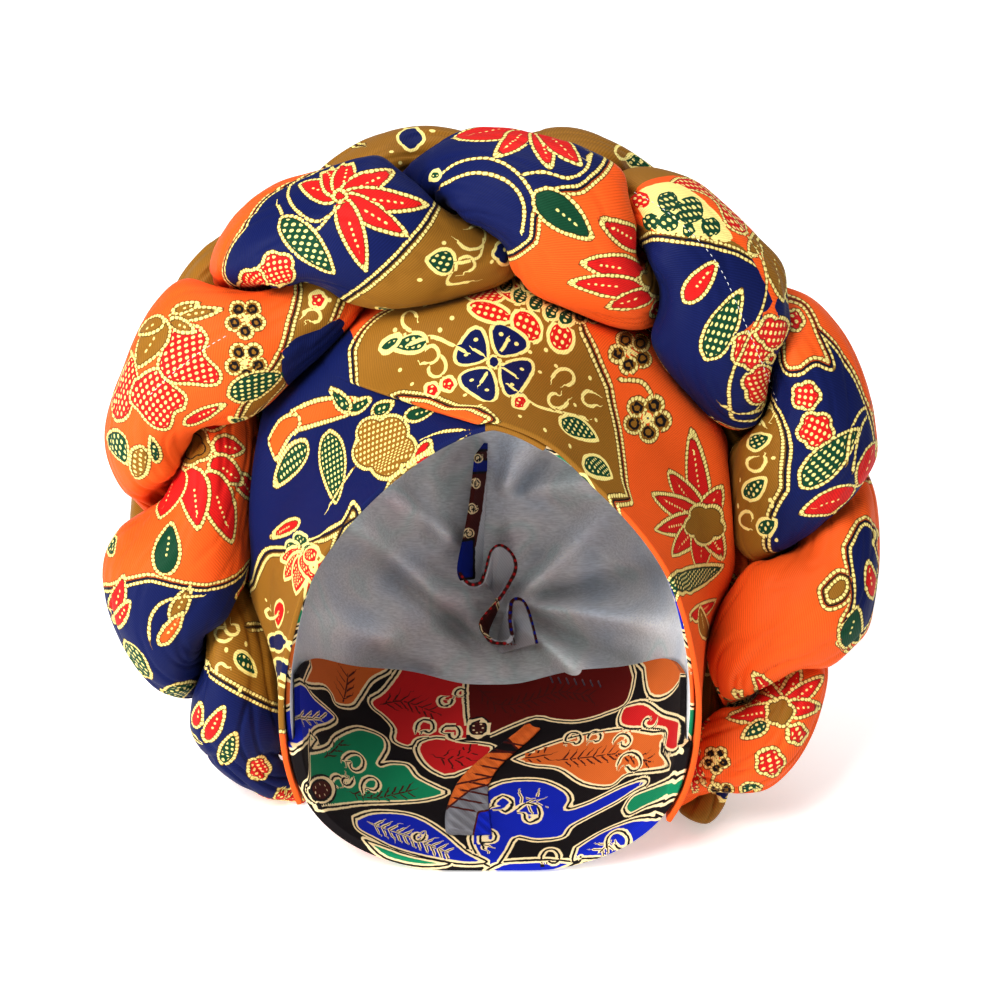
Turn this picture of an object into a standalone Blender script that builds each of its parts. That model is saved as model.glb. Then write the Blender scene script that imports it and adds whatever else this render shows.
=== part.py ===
"""Turban cap: a soft cap of two printed cottons with a padded three-strand plait round the front.

The cap lies on the back of its head, with the head opening towards -Y, the forehead edge up
and the crown towards +Y. Metres, +Z up, origin at the middle of the footprint's box.
"""

import math

import bmesh
import bpy
import numpy as np

# Cap, measured on the outside of its cloth
OPENING_HALF_WIDTH = 0.073   # half of the head opening's width
CAP_HALF_WIDTH = 0.085       # half of the cap's width where the plait lies
CAP_DEPTH = 0.170            # from the opening's edge to the back of the crown
AXIS_HEIGHT = 0.0954         # the opening's middle above the surface that the cap lies on
CROWN_RISE = 0.010           # how far the back of the crown sits above the opening's middle

# Cloth walls and the room between layers
CROWN_WALL = 0.0018
BAND_WALL = 0.0022
HEM_WALL = 0.0020
FRILL_WALL = 0.0016
LAYER_GAP = 0.0004
HEM_GAP = 0.0008             # between the crown and the hem turned in against it

# Plait
RING_RISE = 0.020            # the plait's middle above the opening's middle
RING_SHIFT = 0.003           # the plait's middle to the right of the opening's middle
PLAIT_SEAT = 0.0255          # the plait's middle line above the cloth that it lies on
PLAIT_LEAN = 0.06            # how far the plait leans back for each unit of height
PLAIT_FORWARD = 0.038        # how far the plait's ends come towards the opening
SWING_FRONT = 0.024          # how far a strand swings to the front
SWING_BACK = 0.015           # how far it swings to the back
FRONT_RAISE = 0.0036         # how far its front turns stand out
BACK_SINK = 0.0080           # how far its back turns sink in
STRAND_LIFT = 0.012          # how far a strand swings in and out
STRAND_HALF_WIDTH = 0.0245   # half of a strand's width along the cap
STRAND_HALF_EDGE = 0.0268    # half of its thickness where it turns at the plait's front edge
STRAND_HALF_BACK = 0.0215    # half of its thickness where it turns at the back edge
STRAND_HALF_CROSSING = 0.0165  # half of its thickness where strands cross
STRAND_GAP = 0.0006
STRAND_SLACK = -0.0003       # part of that gap which the middles of a strand's faces may use

# Seam frill, nape hem and gather
HEM_ROLL = 0.005             # how far the rolled hem stands in front of the crown's edge
HEM_SPREAD = 62              # degrees that the hem covers to each side of the bottom
FACING_DEPTH = 0.119         # from the opening's edge to the facing's rear edge
FACING_SIDE_DROP = 0.072     # how much nearer that edge comes at the facing's sides
FACING_WAVE = 0.0025         # how far that edge wanders
FACING_WAVES = 9             # waves of that edge in a full turn
FRILL_HEIGHT = 0.013
FRILL_SWAY = 0.016           # how far the frill's free edge swings to either side
GATHER_START = 0.016         # from the opening's edge to the gather's front end
GATHER_LENGTH = 0.068
GATHER_WIDTH = 0.020         # how far the gather wanders to either side of the middle
GATHER_HEIGHT = 0.0040       # height of its folded edge
PLEAT_DEPTH = 0.0042
PLEAT_REACH = 0.034          # distance from a gathered node at which its folds are deepest
PLEAT_START = 0.74           # share of CAP_DEPTH at which the folds begin, behind the facing
PLEAT_EASE = 0.10            # share of CAP_DEPTH over which they grow to their full depth
SEAM_CLEAR = 0.0064          # the folds are flat to this distance from the seam
SEAM_FULL = 0.024            # and have their full depth past this one

# Section of the cap by angle about its axis. Angles in degrees up from the side.
# opening: share of OPENING_HALF_WIDTH. body: share of CAP_HALF_WIDTH.
CAP_SECTION = (
    # angle, opening, body
    (90, 1.260, 1.235),
    (75, 1.123, 1.225),
    (60, 1.014, 1.197),
    (45, 0.955, 1.152),
    (30, 0.932, 1.097),
    (15, 0.918, 1.035),
    (0, 0.945, 0.972),
    (-15, 1.025, 0.950),
    (-30, 1.137, 1.040),
    (-45, 1.300, 1.140),
    (-60, 1.356, 1.210),
    (-75, 1.340, 1.200),
    (-90, 1.345, 1.180),
)

# Along the depth: how much of the section is the body's, by share of CAP_DEPTH.
CAP_LENGTHWISE = (
    # depth share, body share
    (0.00, 0.00),
    (0.12, 0.30),
    (0.25, 0.68),
    (0.40, 0.97),
    (0.50, 1.00),
    (1.00, 1.00),
)
SECTION_ROUNDING = 6.0       # degrees over which the section's corners are rounded
LENGTHWISE_ROUNDING = 0.06   # share of the depth over which the lengthwise corners are
DOME_START = 0.50            # share of the depth at which the crown starts to close
DOME_FULLNESS = 2.7          # 2 is round, more is fuller

# Ring angles of the nine turns seen along the plait's front edge, left end first.
FRONT_TURNS = (220, 190, 145, 110, 78, 48, 15, -15, -42)

# Course of the plait: ring angle, share of full thickness, share of PLAIT_FORWARD.
PLAIT_COURSE = (
    # ring angle, thickness, forward
    (236, 0.42, 0.62),
    (225, 0.60, 0.55),
    (213, 0.84, 0.40),
    (200, 1.00, 0.20),
    (180, 1.01, 0.05),
    (150, 1.00, 0.00),
    (5, 1.03, 0.00),
    (-15, 0.98, 0.35),
    (-30, 0.85, 0.75),
    (-45, 0.62, 1.00),
    (-57, 0.46, 1.00),
)

COURSE_ROUNDING = 6.0        # degrees over which the course's corners are rounded

# Bands: ring of angles about the cap's axis that each covers, in degrees.
LEFT_CORNER = 43             # how far below the side the left band's lower corner reaches
RIGHT_CORNER = 48            # how far below the side the right band's reaches
BAND_CROSSING = 92           # angle at which the two front edges cross
BAND_UNDERLAP = 14           # how far the under band runs on beneath the other
BAND_SPREAD = 46             # how far the over band's end leans back across the cap
BAND_REACH = 0.46            # share of CAP_DEPTH that the bands cover
BAND_CLIMB = 12.0            # degrees over which the over band climbs onto the other

# Folds of the frill's free edge, from its upper end down: place of the foot along the seam,
# sway to the right and rise towards the upper end, both as shares of FRILL_SWAY.
FRILL_FOLDS = (
    # foot, sway, rise
    (0.00, -0.35, 0.00),
    (0.22, -0.62, 0.00),
    (0.42, -0.90, 0.00),
    (0.47, -0.55, -0.10),
    (0.50, -0.10, 0.05),
    (0.52, -0.05, 1.00),
    (0.54, 0.30, 1.35),
    (0.57, 0.75, 0.90),
    (0.64, 0.60, 0.70),
    (0.76, -0.10, 0.10),
    (0.84, -0.35, 0.15),
    (0.90, 0.00, -0.25),
    (0.93, 0.55, -0.20),
    (0.95, 0.60, 0.20),
    (0.96, 0.40, 0.95),
    (0.97, 0.70, 1.20),
    (0.98, 0.95, 1.05),
    (1.00, 1.17, 0.00),
)
FRILL_START = 0.995          # share of CAP_DEPTH at the frill's upper end
FRILL_END = 0.775            # share of CAP_DEPTH at its lower end
FRILL_SAMPLES = 44
FOOT_SHARE = 0.30            # how much of the free edge's sway its foot follows

# Outline of the folded seam allowance at the nape's middle, from its front end to its rear end:
# share of GATHER_LENGTH, then its left and right edges as shares of GATHER_WIDTH.
GATHER_OUTLINE = (
    # along, left, right
    (0.00, -0.83, 0.05),
    (0.16, -0.88, 0.00),
    (0.46, -0.65, -0.05),
    (0.65, -0.23, 0.20),
    (1.00, 0.75, 1.05),
)
# Its profile from the folded edge on the left: share of its width, share of GATHER_HEIGHT.
GATHER_PROFILE = (
    # across, up
    (0.00, 0.45),
    (0.06, 0.12),
    (0.20, 0.00),
    (0.96, 0.00),
    (1.00, 0.18),
    (0.94, 0.34),
    (0.55, 0.42),
    (0.25, 0.95),
    (0.08, 0.90),
)
GATHER_STEPS = 12
GATHER_ROUNDING = 0.06       # share of its length over which its outline's corners are rounded

# Gathered nodes of the crown's seam: share of CAP_DEPTH and number of folds round each.
PLEAT_NODES = (
    # depth share, folds
    (0.975, 11),
    (0.865, 13),
)

CROWN_SIDES = 52
CROWN_STATIONS = (0.0, 0.08, 0.17, 0.26, 0.35, 0.45, 0.55, 0.63, 0.675, 0.72, 0.78, 0.84, 0.89,
                  0.93, 0.96, 0.982, 0.995)
BAND_TAIL_STEPS = 7
HEM_ROW_GAP = 0.004          # least share of the depth between two rows of the hem's points
STRAND_SECTIONS = 72
STRAND_SIDES = 12
STRAND_END = 0.3             # length of a strand's rounded end, as a share of its half thickness
LINE_POINTS = 600            # points of a strand's middle line that its neighbours are measured to
LEAST_SHARE = 0.02           # how flat a strand may be pressed, as a share of its full section
HALVINGS = 12
REACH_HALVINGS = 40
PRESS_PASSES = 10
PRESS_STEP = 0.6             # share of a wanted move that one pass makes


def column(table, index):
    """One column of a table, as an array."""
    return np.array([row[index] for row in table], dtype=float)


def table_value(table, at, index, soften=0.0):
    """Value of a column between rows, with its corners rounded over a width of twice soften."""
    places = column(table, 0)
    values = column(table, index)
    order = np.argsort(places)
    shifts = np.linspace(-soften, soften, 5)
    return sum(np.interp(at + shift, places[order], values[order]) for shift in shifts) / len(shifts)


def lattice_between(low, high):
    """Angles from low to high that fall on the crown's own lattice, and the two ends."""
    step = 360.0 / CROWN_SIDES
    every = -90.0 + step * np.arange(2 * CROWN_SIDES) - 360.0
    inside = every[(every > low + step / 3.0) & (every < high - step / 3.0)]
    return np.concatenate([[low], inside, [high]])


def smooth(low, high, value):
    """0 below low, 1 above high and a soft step between."""
    share = np.clip((value - low) / (high - low), 0.0, 1.0)
    return share * share * (3.0 - 2.0 * share)


def folded(angle):
    """The angle up from the side, from -90 to 90 degrees, of any angle about the cap's axis."""
    return np.degrees(np.arcsin(np.clip(np.sin(np.radians(angle)), -1.0, 1.0)))


def axis_height(share):
    """Height of the cap's axis at a share of its depth."""
    past = np.clip((share - DOME_START) / (1.0 - DOME_START), 0.0, 1.0)
    return AXIS_HEIGHT + CROWN_RISE * past ** 2


def cap_radius(angle, share):
    """Distance of the cap's outer cloth from its axis."""
    side = folded(angle)
    opening = table_value(CAP_SECTION, side, 1, SECTION_ROUNDING) * OPENING_HALF_WIDTH
    body = table_value(CAP_SECTION, side, 2, SECTION_ROUNDING) * CAP_HALF_WIDTH
    mix = table_value(CAP_LENGTHWISE, share, 1, LENGTHWISE_ROUNDING)
    past = np.clip((share - DOME_START) / (1.0 - DOME_START), 0.0, 1.0)
    closing = np.sqrt(np.maximum(1.0 - past ** DOME_FULLNESS, 0.0))
    radius = ((1.0 - mix) * opening + mix * body) * closing
    down = np.maximum(-np.sin(np.radians(angle)), 1e-6)
    to_floor = axis_height(share) / down
    return np.minimum(radius, to_floor)


def cap_point(angle, share):
    """Point on the cap's outer cloth."""
    radius = cap_radius(angle, share)
    turn = np.radians(angle)
    return np.stack([
        radius * np.cos(turn),
        share * CAP_DEPTH + 0.0 * radius,
        axis_height(share) + radius * np.sin(turn),
    ], axis=-1)


def cap_normal(angle, share):
    """Direction out of the cap's cloth."""
    step_angle = 1.0
    step_share = 0.004
    round_it = cap_point(angle + step_angle, share) - cap_point(angle - step_angle, share)
    ahead = np.minimum(share + step_share, 0.9995)
    along = cap_point(angle, ahead) - cap_point(angle, share - step_share)
    out = np.cross(along, round_it)
    return out / np.linalg.norm(out, axis=-1, keepdims=True)


def raised(angle, share, lift):
    """Point at a distance outside the cap's outer cloth, or inside it where lift is negative."""
    return cap_point(angle, share) + cap_normal(angle, share) * np.asarray(lift)[..., None]


def pleats(angle, share):
    """How far the folds that radiate from the seam's nodes push the crown's cloth outwards."""
    place = cap_point(angle, share)
    total = np.zeros(np.shape(angle + share))
    for node_share, folds in PLEAT_NODES:
        node = cap_point(-90.0, node_share)
        across = place[..., 0] - node[0]
        rise = (place[..., 2] - node[2]) + (node[1] - place[..., 1])
        away = np.hypot(across, rise)
        turn = np.arctan2(rise, across)
        depth = away / PLEAT_REACH * np.exp(1.0 - away / PLEAT_REACH)
        total = total + depth * np.cos(folds * turn + node_share)
    clear_of_seam = smooth(SEAM_CLEAR, SEAM_FULL, np.abs(place[..., 0]))
    inside_crown = smooth(PLEAT_START, PLEAT_START + PLEAT_EASE, share)
    return 0.5 * PLEAT_DEPTH * total * clear_of_seam * inside_crown


def grid_faces(rows, columns, closed):
    """Quads of a lattice, whose columns meet again if it is closed."""
    faces = []
    for i in range(rows - 1):
        for j in range(columns if closed else columns - 1):
            right = (j + 1) % columns
            faces.append((i * columns + j, i * columns + right,
                          (i + 1) * columns + right, (i + 1) * columns + j))
    return faces


def tube_faces(rows, columns):
    """Faces of a closed tube of rows, with a flat face at each end."""
    last = columns * (rows - 1)
    ends = [tuple(reversed(range(columns))), tuple(range(last, last + columns))]
    return grid_faces(rows, columns, closed=True) + ends


def finish_material(name, colour, roughness, metallic=0.0):
    """Plain cloth finish."""
    material = bpy.data.materials.new(name)
    material.use_nodes = True
    shader = material.node_tree.nodes["Principled BSDF"]
    shader.inputs["Base Color"].default_value = (*colour, 1.0)
    shader.inputs["Roughness"].default_value = roughness
    shader.inputs["Metallic"].default_value = metallic
    material.diffuse_color = (*colour, 1.0)
    return material


def new_piece(name, points, faces, collection, material, wall=None):
    """Mesh object, with its faces turned outwards and a wall laid inside it if it has one."""
    mesh = bpy.data.meshes.new(name)
    mesh.from_pydata([tuple(p) for p in points], [], faces)
    work = bmesh.new()
    work.from_mesh(mesh)
    if wall is None:
        bmesh.ops.recalc_face_normals(work, faces=work.faces)
    work.to_mesh(mesh)
    work.free()
    mesh.shade_smooth()
    mesh.materials.append(material)
    piece = bpy.data.objects.new(name, mesh)
    collection.objects.link(piece)
    if wall is not None:
        shell = piece.modifiers.new("cloth", "SOLIDIFY")
        shell.thickness = wall
        shell.offset = -1.0
        shell.use_even_offset = False
    return piece


def crown_shares():
    """Shares of the depth at which the crown has a row of points, behind the rolled hem."""
    front = HEM_ROLL / CAP_DEPTH
    return front + np.array(CROWN_STATIONS) * (1.0 - front)


def crown(collection, material):
    """The cap's own shell, from behind the rolled hem to the back of the crown."""
    angles = np.arange(CROWN_SIDES) * 360.0 / CROWN_SIDES - 90.0
    points = []
    for share in crown_shares():
        place = cap_point(angles, share)
        out = cap_normal(angles, share)
        points.extend(place + out * pleats(angles, share)[:, None])
    faces = grid_faces(len(CROWN_STATIONS), CROWN_SIDES, closed=True)
    last = (len(CROWN_STATIONS) - 1) * CROWN_SIDES
    back = len(points)
    points.append(np.array([0.0, CAP_DEPTH, axis_height(1.0)]))
    for j in range(CROWN_SIDES):
        faces.append((last + j, last + (j + 1) % CROWN_SIDES, back))
    return new_piece("crown", points, [tuple(reversed(f)) for f in faces], collection,
                     material, CROWN_WALL)


def seam_frill(collection, material):
    """The crown's raw seam allowance, standing inside it along the gathered seam."""
    rows = np.linspace(0.0, len(FRILL_FOLDS) - 1.0, FRILL_SAMPLES)
    places = np.arange(len(FRILL_FOLDS))
    along, sway, rise = (eased(np.interp(rows, places, column(FRILL_FOLDS, k)), 2) for k in range(3))
    shares = FRILL_START + (FRILL_END - FRILL_START) * along
    angles = np.full(len(shares), -90.0)
    inward = -cap_normal(angles, shares)
    uphill = np.cross(inward, [1.0, 0.0, 0.0])
    sideways = np.array([1.0, 0.0, 0.0]) * FRILL_SWAY
    foot = cap_point(angles, shares) + inward * (CROWN_WALL + 2.0 * LAYER_GAP)
    foot = foot + sway[:, None] * sideways * FOOT_SHARE
    free = foot + inward * FRILL_HEIGHT + sway[:, None] * sideways * (1.0 - FOOT_SHARE)
    free = free + rise[:, None] * uphill * FRILL_SWAY
    path = np.gradient(free, axis=0)
    aside = np.cross(path, inward)
    aside /= np.linalg.norm(aside, axis=1, keepdims=True)
    half = aside * FRILL_WALL / 2.0
    points = []
    for i in range(FRILL_SAMPLES):
        points.extend([foot[i] - half[i], foot[i] + half[i], free[i] + half[i], free[i] - half[i]])
    return new_piece("crown_seam_frill", points, tube_faces(FRILL_SAMPLES, 4), collection, material)


def hem_profile(angle):
    """Closed profile of the turned-in hem at an angle: (depth share, distance inside the cloth)."""
    under = CROWN_WALL + HEM_GAP
    inner = under + HEM_WALL
    wave = FACING_WAVE * math.sin(math.radians(angle * FACING_WAVES))
    aside = (angle + 90.0) / HEM_SPREAD
    rear = (FACING_DEPTH - FACING_SIDE_DROP * aside ** 4 + wave) / CAP_DEPTH
    edge = (HEM_ROLL - LAYER_GAP) / CAP_DEPTH
    stations = crown_shares()
    stations = stations[stations < FACING_DEPTH / CAP_DEPTH - 0.02]
    left = np.arange(len(stations), 0, -1)
    run = np.concatenate([np.minimum(stations, rear - HEM_ROW_GAP * left), [rear]])
    inner_run = [(share, under) for share in run[::-1]]
    roll = [(edge, 0.0), (edge * 0.45, 0.0), (0.0, under * 0.5), (0.0, inner), (edge * 0.5, inner * 1.3)]
    outer_run = [(share, inner) for share in run[1:]]
    return inner_run + roll + outer_run


def nape_facing(collection, material):
    """The hem of the nape: turned in round the crown's edge and laid flat inside."""
    angles = lattice_between(-90.0 - HEM_SPREAD, -90.0 + HEM_SPREAD)
    points = []
    for angle in angles:
        for share, inside in hem_profile(angle):
            points.append(raised(angle, share, -inside))
    faces = tube_faces(len(angles), len(hem_profile(angles[0])))
    return new_piece("nape_facing", points, faces, collection, material)


def nape_gather(collection, material):
    """The folded seam allowance that lies on the facing at the middle of the nape."""
    inside = CROWN_WALL + HEM_GAP + HEM_WALL + LAYER_GAP
    points = []
    for along in np.linspace(0.0, 1.0, GATHER_STEPS):
        depth = GATHER_START + along * GATHER_LENGTH
        left = table_value(GATHER_OUTLINE, along, 1, GATHER_ROUNDING) * GATHER_WIDTH
        right = table_value(GATHER_OUTLINE, along, 2, GATHER_ROUNDING) * GATHER_WIDTH
        foot = raised(-90.0, depth / CAP_DEPTH, -inside)
        for across, up in GATHER_PROFILE:
            place = left + across * (right - left)
            points.append(foot + np.array([place, 0.0, up * GATHER_HEIGHT]))
    faces = tube_faces(GATHER_STEPS, len(GATHER_PROFILE))
    return new_piece("nape_gather", points, faces, collection, material)


def band(name, mirrored, corner, lift_of, spread, end_angle, collection, material):
    """A front band: a strip of the cap's surface from its lower corner up over the peak."""
    head = lattice_between(-corner, 90.0)
    tail = np.arange(1, BAND_TAIL_STEPS + 1) / BAND_TAIL_STEPS
    stations = crown_shares()
    rows = np.concatenate([[0.0], stations[stations < BAND_REACH - 0.02], [BAND_REACH]])
    points = []
    for share in rows:
        finish = end_angle + spread * share / BAND_REACH
        angles = np.concatenate([head, 90.0 + tail * (finish - 90.0)])
        if mirrored:
            angles = 180.0 - angles
        points.extend(raised(angles, share, lift_of(angles)))
    faces = grid_faces(len(rows), len(head) + len(tail), closed=False)
    if not mirrored:
        faces = [tuple(reversed(f)) for f in faces]
    return new_piece(name, points, faces, collection, material, BAND_WALL)


def band_lift(angles):
    """How far the cloth of a single band stands off the cap's own cloth, on its outside."""
    return np.full(np.shape(angles), LAYER_GAP + BAND_WALL)


def over_band_lift(angles):
    """The over band's lift, which climbs onto the under band near the peak."""
    climb_end = BAND_CROSSING - BAND_UNDERLAP - 1.0
    climb = smooth(climb_end - BAND_CLIMB, climb_end, np.asarray(angles, dtype=float))
    return band_lift(angles) + climb * (BAND_WALL + 1.5 * LAYER_GAP)


def top_lift(angles):
    """How far the outermost cloth of the bands stands off the cap's own, all round."""
    end = BAND_CROSSING + BAND_SPREAD
    past_end = smooth(end, end + BAND_CLIMB, angles)
    return band_lift(angles) + (1.0 - past_end) * (over_band_lift(angles) - band_lift(angles))


def above_bands(points):
    """How far points stand above the cloth that the plait lies on."""
    share = np.clip(points[..., 1] / CAP_DEPTH, 0.0, 0.999)
    across = points[..., 0]
    rise = points[..., 2] - axis_height(share)
    angle = np.degrees(np.arctan2(rise, across))
    angle = np.where(angle < -90.0, angle + 360.0, angle)
    under = cap_radius(angle, share) + top_lift(angle)
    return np.hypot(across, rise) - under


def ring_middle():
    """Middle of the plait's ring, across and up."""
    return RING_SHIFT, AXIS_HEIGHT + RING_RISE


def plait_depth(angle):
    """Depth of the plait's middle line: it leans back at the top and comes forward at its ends."""
    _, height = ring_middle()
    lean = PLAIT_LEAN * np.sin(np.radians(angle)) * height
    forward = table_value(PLAIT_COURSE, angle, 2, COURSE_ROUNDING)
    return CAP_DEPTH * 0.5 + lean - PLAIT_FORWARD * forward


def cloth_reach(angle):
    """Distance from the ring's middle to the bands' cloth, under the plait's middle line."""
    across, height = ring_middle()
    turn = np.radians(angle)
    depth = plait_depth(angle)
    low = np.zeros_like(turn)
    high = np.full_like(turn, CAP_HALF_WIDTH + AXIS_HEIGHT)
    for _ in range(REACH_HALVINGS):
        middle = 0.5 * (low + high)
        place = np.stack([across + middle * np.cos(turn), depth, height + middle * np.sin(turn)],
                         axis=-1)
        outside = above_bands(place) > 0.0
        high = np.where(outside, middle, high)
        low = np.where(outside, low, middle)
    return high


def strand_phase(angle, number):
    """Where a strand is in its plaiting turn, in radians, at an angle round the ring."""
    turns = np.array(FRONT_TURNS, dtype=float)
    index = np.interp(-angle, -turns, np.arange(len(turns)))
    first = turns[0] - turns[1]
    last = turns[-2] - turns[-1]
    index = np.where(angle > turns[0], -(angle - turns[0]) / first, index)
    index = np.where(angle < turns[-1], len(turns) - 1 + (turns[-1] - angle) / last, index)
    return np.radians(90.0 + 120.0 * (index - number))


def eased(values, passes=4):
    """Values along the plait with their corners softened."""
    for _ in range(passes):
        inner = 0.25 * values[:-2] + 0.5 * values[1:-1] + 0.25 * values[2:]
        values = np.concatenate([values[:1], inner, values[-1:]])
    return values


def strand_line(number, count):
    """A strand's middle line, with the outward direction and its half sizes at each place."""
    angle = np.linspace(PLAIT_COURSE[0][0], PLAIT_COURSE[-1][0], count)
    passes = max(4, count // 12)
    phase = eased(strand_phase(angle, number), passes)
    thick = table_value(PLAIT_COURSE, angle, 1, COURSE_ROUNDING)
    reach = eased(cloth_reach(angle), passes)
    across, height = ring_middle()
    swing = np.sin(phase)
    tilt = np.where(swing > 0.0, FRONT_RAISE, BACK_SINK) * swing
    radius = reach + thick * (PLAIT_SEAT + STRAND_LIFT * np.sin(2.0 * phase) + tilt)
    turn = np.radians(angle)
    outward = np.stack([np.cos(turn), 0.0 * turn, np.sin(turn)], axis=-1)
    line = radius[:, None] * outward
    line[:, 0] += across
    line[:, 1] += eased(plait_depth(angle), passes)
    line[:, 1] -= thick * np.where(swing > 0.0, SWING_FRONT, SWING_BACK) * swing
    line[:, 2] += height
    turning = swing ** 2 * np.cos(2.0 * phase) ** 2
    at_turn = np.where(swing > 0.0, STRAND_HALF_EDGE, STRAND_HALF_BACK)
    half_edge = STRAND_HALF_CROSSING + (at_turn - STRAND_HALF_CROSSING) * turning
    return line, outward, thick * half_edge, thick * STRAND_HALF_WIDTH


def distance_to(points, line):
    """Distance of each point to the nearest place on a line of close points."""
    shape = points.shape[:-1]
    flat = points.reshape(-1, 3)
    best = np.full(len(flat), np.inf)
    for start in range(0, len(line), 60):
        part = line[start:start + 60]
        gap = np.linalg.norm(flat[:, None, :] - part[None, :, :], axis=2)
        best = np.minimum(best, gap.min(axis=1))
    return best.reshape(shape)


def press_back(share, line, reach, room):
    """Shares of a strand's full sections at which its faces clear its neighbours too."""
    size = np.linalg.norm(reach, axis=2)
    for _ in range(PRESS_PASSES):
        points = line[:, None, :] + reach * share[:, :, None]
        beside = np.roll(points, -1, axis=1)
        want = np.zeros_like(share)
        across = STRAND_SLACK - room(0.5 * (points + beside))
        want = np.maximum(want, np.maximum(across, np.roll(across, 1, axis=1)))
        along = STRAND_SLACK - room(0.5 * (points[:-1] + points[1:]))
        slant = STRAND_SLACK - room(0.5 * (points[:-1] + beside[1:]))
        want[:-1] = np.maximum(want[:-1], np.maximum(along, slant))
        want[1:] = np.maximum(want[1:], np.maximum(along, np.roll(slant, 1, axis=1)))
        share = np.maximum(share - PRESS_STEP * want / size, LEAST_SHARE)
    return share


def strand(number, lines, collection, material):
    """One stuffed strand, pressed flat where it meets the cap, the floor and its neighbours."""
    line, outward, half_edge, half_width = strand_line(number, STRAND_SECTIONS)
    along = np.gradient(line, axis=0)
    along /= np.linalg.norm(along, axis=1, keepdims=True)
    aside = np.cross(along, outward)
    aside /= np.linalg.norm(aside, axis=1, keepdims=True)
    up = np.cross(aside, along)
    turns = 2.0 * np.pi * np.arange(STRAND_SIDES) / STRAND_SIDES
    reach = (half_edge[:, None, None] * np.cos(turns)[None, :, None] * up[:, None, :]
             + half_width[:, None, None] * np.sin(turns)[None, :, None] * aside[:, None, :])
    others = [lines[k] for k in range(3) if k != number]
    own = lines[number]

    def room(points):
        """Room left between points of this strand and what it must stay clear of."""
        spare = distance_to(points, own)
        least = np.minimum(above_bands(points) - STRAND_GAP, points[..., 2])
        for other in others:
            least = np.minimum(least, distance_to(points, other) - spare - STRAND_GAP)
        return least

    low = np.full(reach.shape[:2], LEAST_SHARE)
    high = np.ones(reach.shape[:2])
    free = room(line[:, None, :] + reach) > 0.0
    for _ in range(HALVINGS):
        middle = 0.5 * (low + high)
        good = room(line[:, None, :] + reach * middle[:, :, None]) > 0.0
        low = np.where(good, middle, low)
        high = np.where(good, high, middle)
    share = press_back(np.where(free, 1.0, low), line, reach, room)
    points = list((line[:, None, :] + reach * share[:, :, None]).reshape(-1, 3))
    faces = grid_faces(STRAND_SECTIONS, STRAND_SIDES, closed=True)
    first = len(points)
    points.append(line[0] - along[0] * half_edge[0] * STRAND_END)
    points.append(line[-1] + along[-1] * half_edge[-1] * STRAND_END)
    last = (STRAND_SECTIONS - 1) * STRAND_SIDES
    for j in range(STRAND_SIDES):
        right = (j + 1) % STRAND_SIDES
        faces.append((right, j, first))
        faces.append((last + j, last + right, first + 1))
    return new_piece(f"strand_{number + 1}", points, faces, collection, material)


def stand_on_origin(pieces):
    """Move every piece so that the origin is under the middle of them all."""
    low = np.full(3, np.inf)
    high = np.full(3, -np.inf)
    for piece in pieces:
        corners = np.array([v.co for v in piece.data.vertices])
        low = np.minimum(low, corners.min(axis=0))
        high = np.maximum(high, corners.max(axis=0))
    shift = np.array([(low[0] + high[0]) / 2.0, (low[1] + high[1]) / 2.0, low[2]])
    for piece in pieces:
        for vertex in piece.data.vertices:
            vertex.co = [vertex.co[i] - shift[i] for i in range(3)]


def main():
    for piece in list(bpy.data.objects):
        bpy.data.objects.remove(piece, do_unlink=True)
    cap = bpy.data.collections.new("turban_cap")
    bpy.context.scene.collection.children.link(cap)

    print_dark = finish_material("dark print", (0.06, 0.03, 0.05), 0.75)
    print_gold = finish_material("gold print", (0.42, 0.20, 0.05), 0.65)
    print_navy = finish_material("navy print", (0.03, 0.05, 0.20), 0.65)
    print_orange = finish_material("orange print", (0.75, 0.18, 0.05), 0.65)
    raw_edge = finish_material("raw edge", (0.70, 0.62, 0.62), 0.85)

    pieces = [
        crown(cap, print_dark),
        seam_frill(cap, raw_edge),
        nape_facing(cap, print_dark),
        nape_gather(cap, print_orange),
        band("band_left", True, LEFT_CORNER, band_lift, 0.0, 180.0 - BAND_CROSSING + BAND_UNDERLAP,
             cap, print_navy),
        band("band_right", False, RIGHT_CORNER, over_band_lift, BAND_SPREAD, BAND_CROSSING,
             cap, print_gold),
    ]
    lines = [strand_line(number, LINE_POINTS)[0] for number in range(3)]
    finishes = (print_orange, print_gold, print_navy)
    for number in range(3):
        pieces.append(strand(number, lines, cap, finishes[number]))
    stand_on_origin(pieces)


main()
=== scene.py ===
"""Turban cap: printed cottons, a padded plait, the cap's lining and its stitching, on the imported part."""

import math

import bmesh
import bpy
import numpy as np
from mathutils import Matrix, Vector, noise
from mathutils.bvhtree import BVHTree


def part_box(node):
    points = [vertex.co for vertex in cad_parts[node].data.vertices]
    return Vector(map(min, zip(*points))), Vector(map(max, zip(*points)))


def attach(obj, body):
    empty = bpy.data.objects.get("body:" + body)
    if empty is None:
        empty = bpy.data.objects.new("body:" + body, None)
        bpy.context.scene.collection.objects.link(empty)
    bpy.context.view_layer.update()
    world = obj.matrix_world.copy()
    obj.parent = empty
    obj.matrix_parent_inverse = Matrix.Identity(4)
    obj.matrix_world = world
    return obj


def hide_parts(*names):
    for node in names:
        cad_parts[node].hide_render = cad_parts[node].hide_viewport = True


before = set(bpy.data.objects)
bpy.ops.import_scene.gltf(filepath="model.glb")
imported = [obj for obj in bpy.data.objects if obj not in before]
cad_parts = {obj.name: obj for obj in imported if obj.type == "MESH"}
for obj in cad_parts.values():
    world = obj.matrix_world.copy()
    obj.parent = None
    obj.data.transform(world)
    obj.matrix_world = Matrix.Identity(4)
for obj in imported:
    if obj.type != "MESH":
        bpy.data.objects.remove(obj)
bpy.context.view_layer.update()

# ---------------------------------------------------------------- camera and measured places

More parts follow.
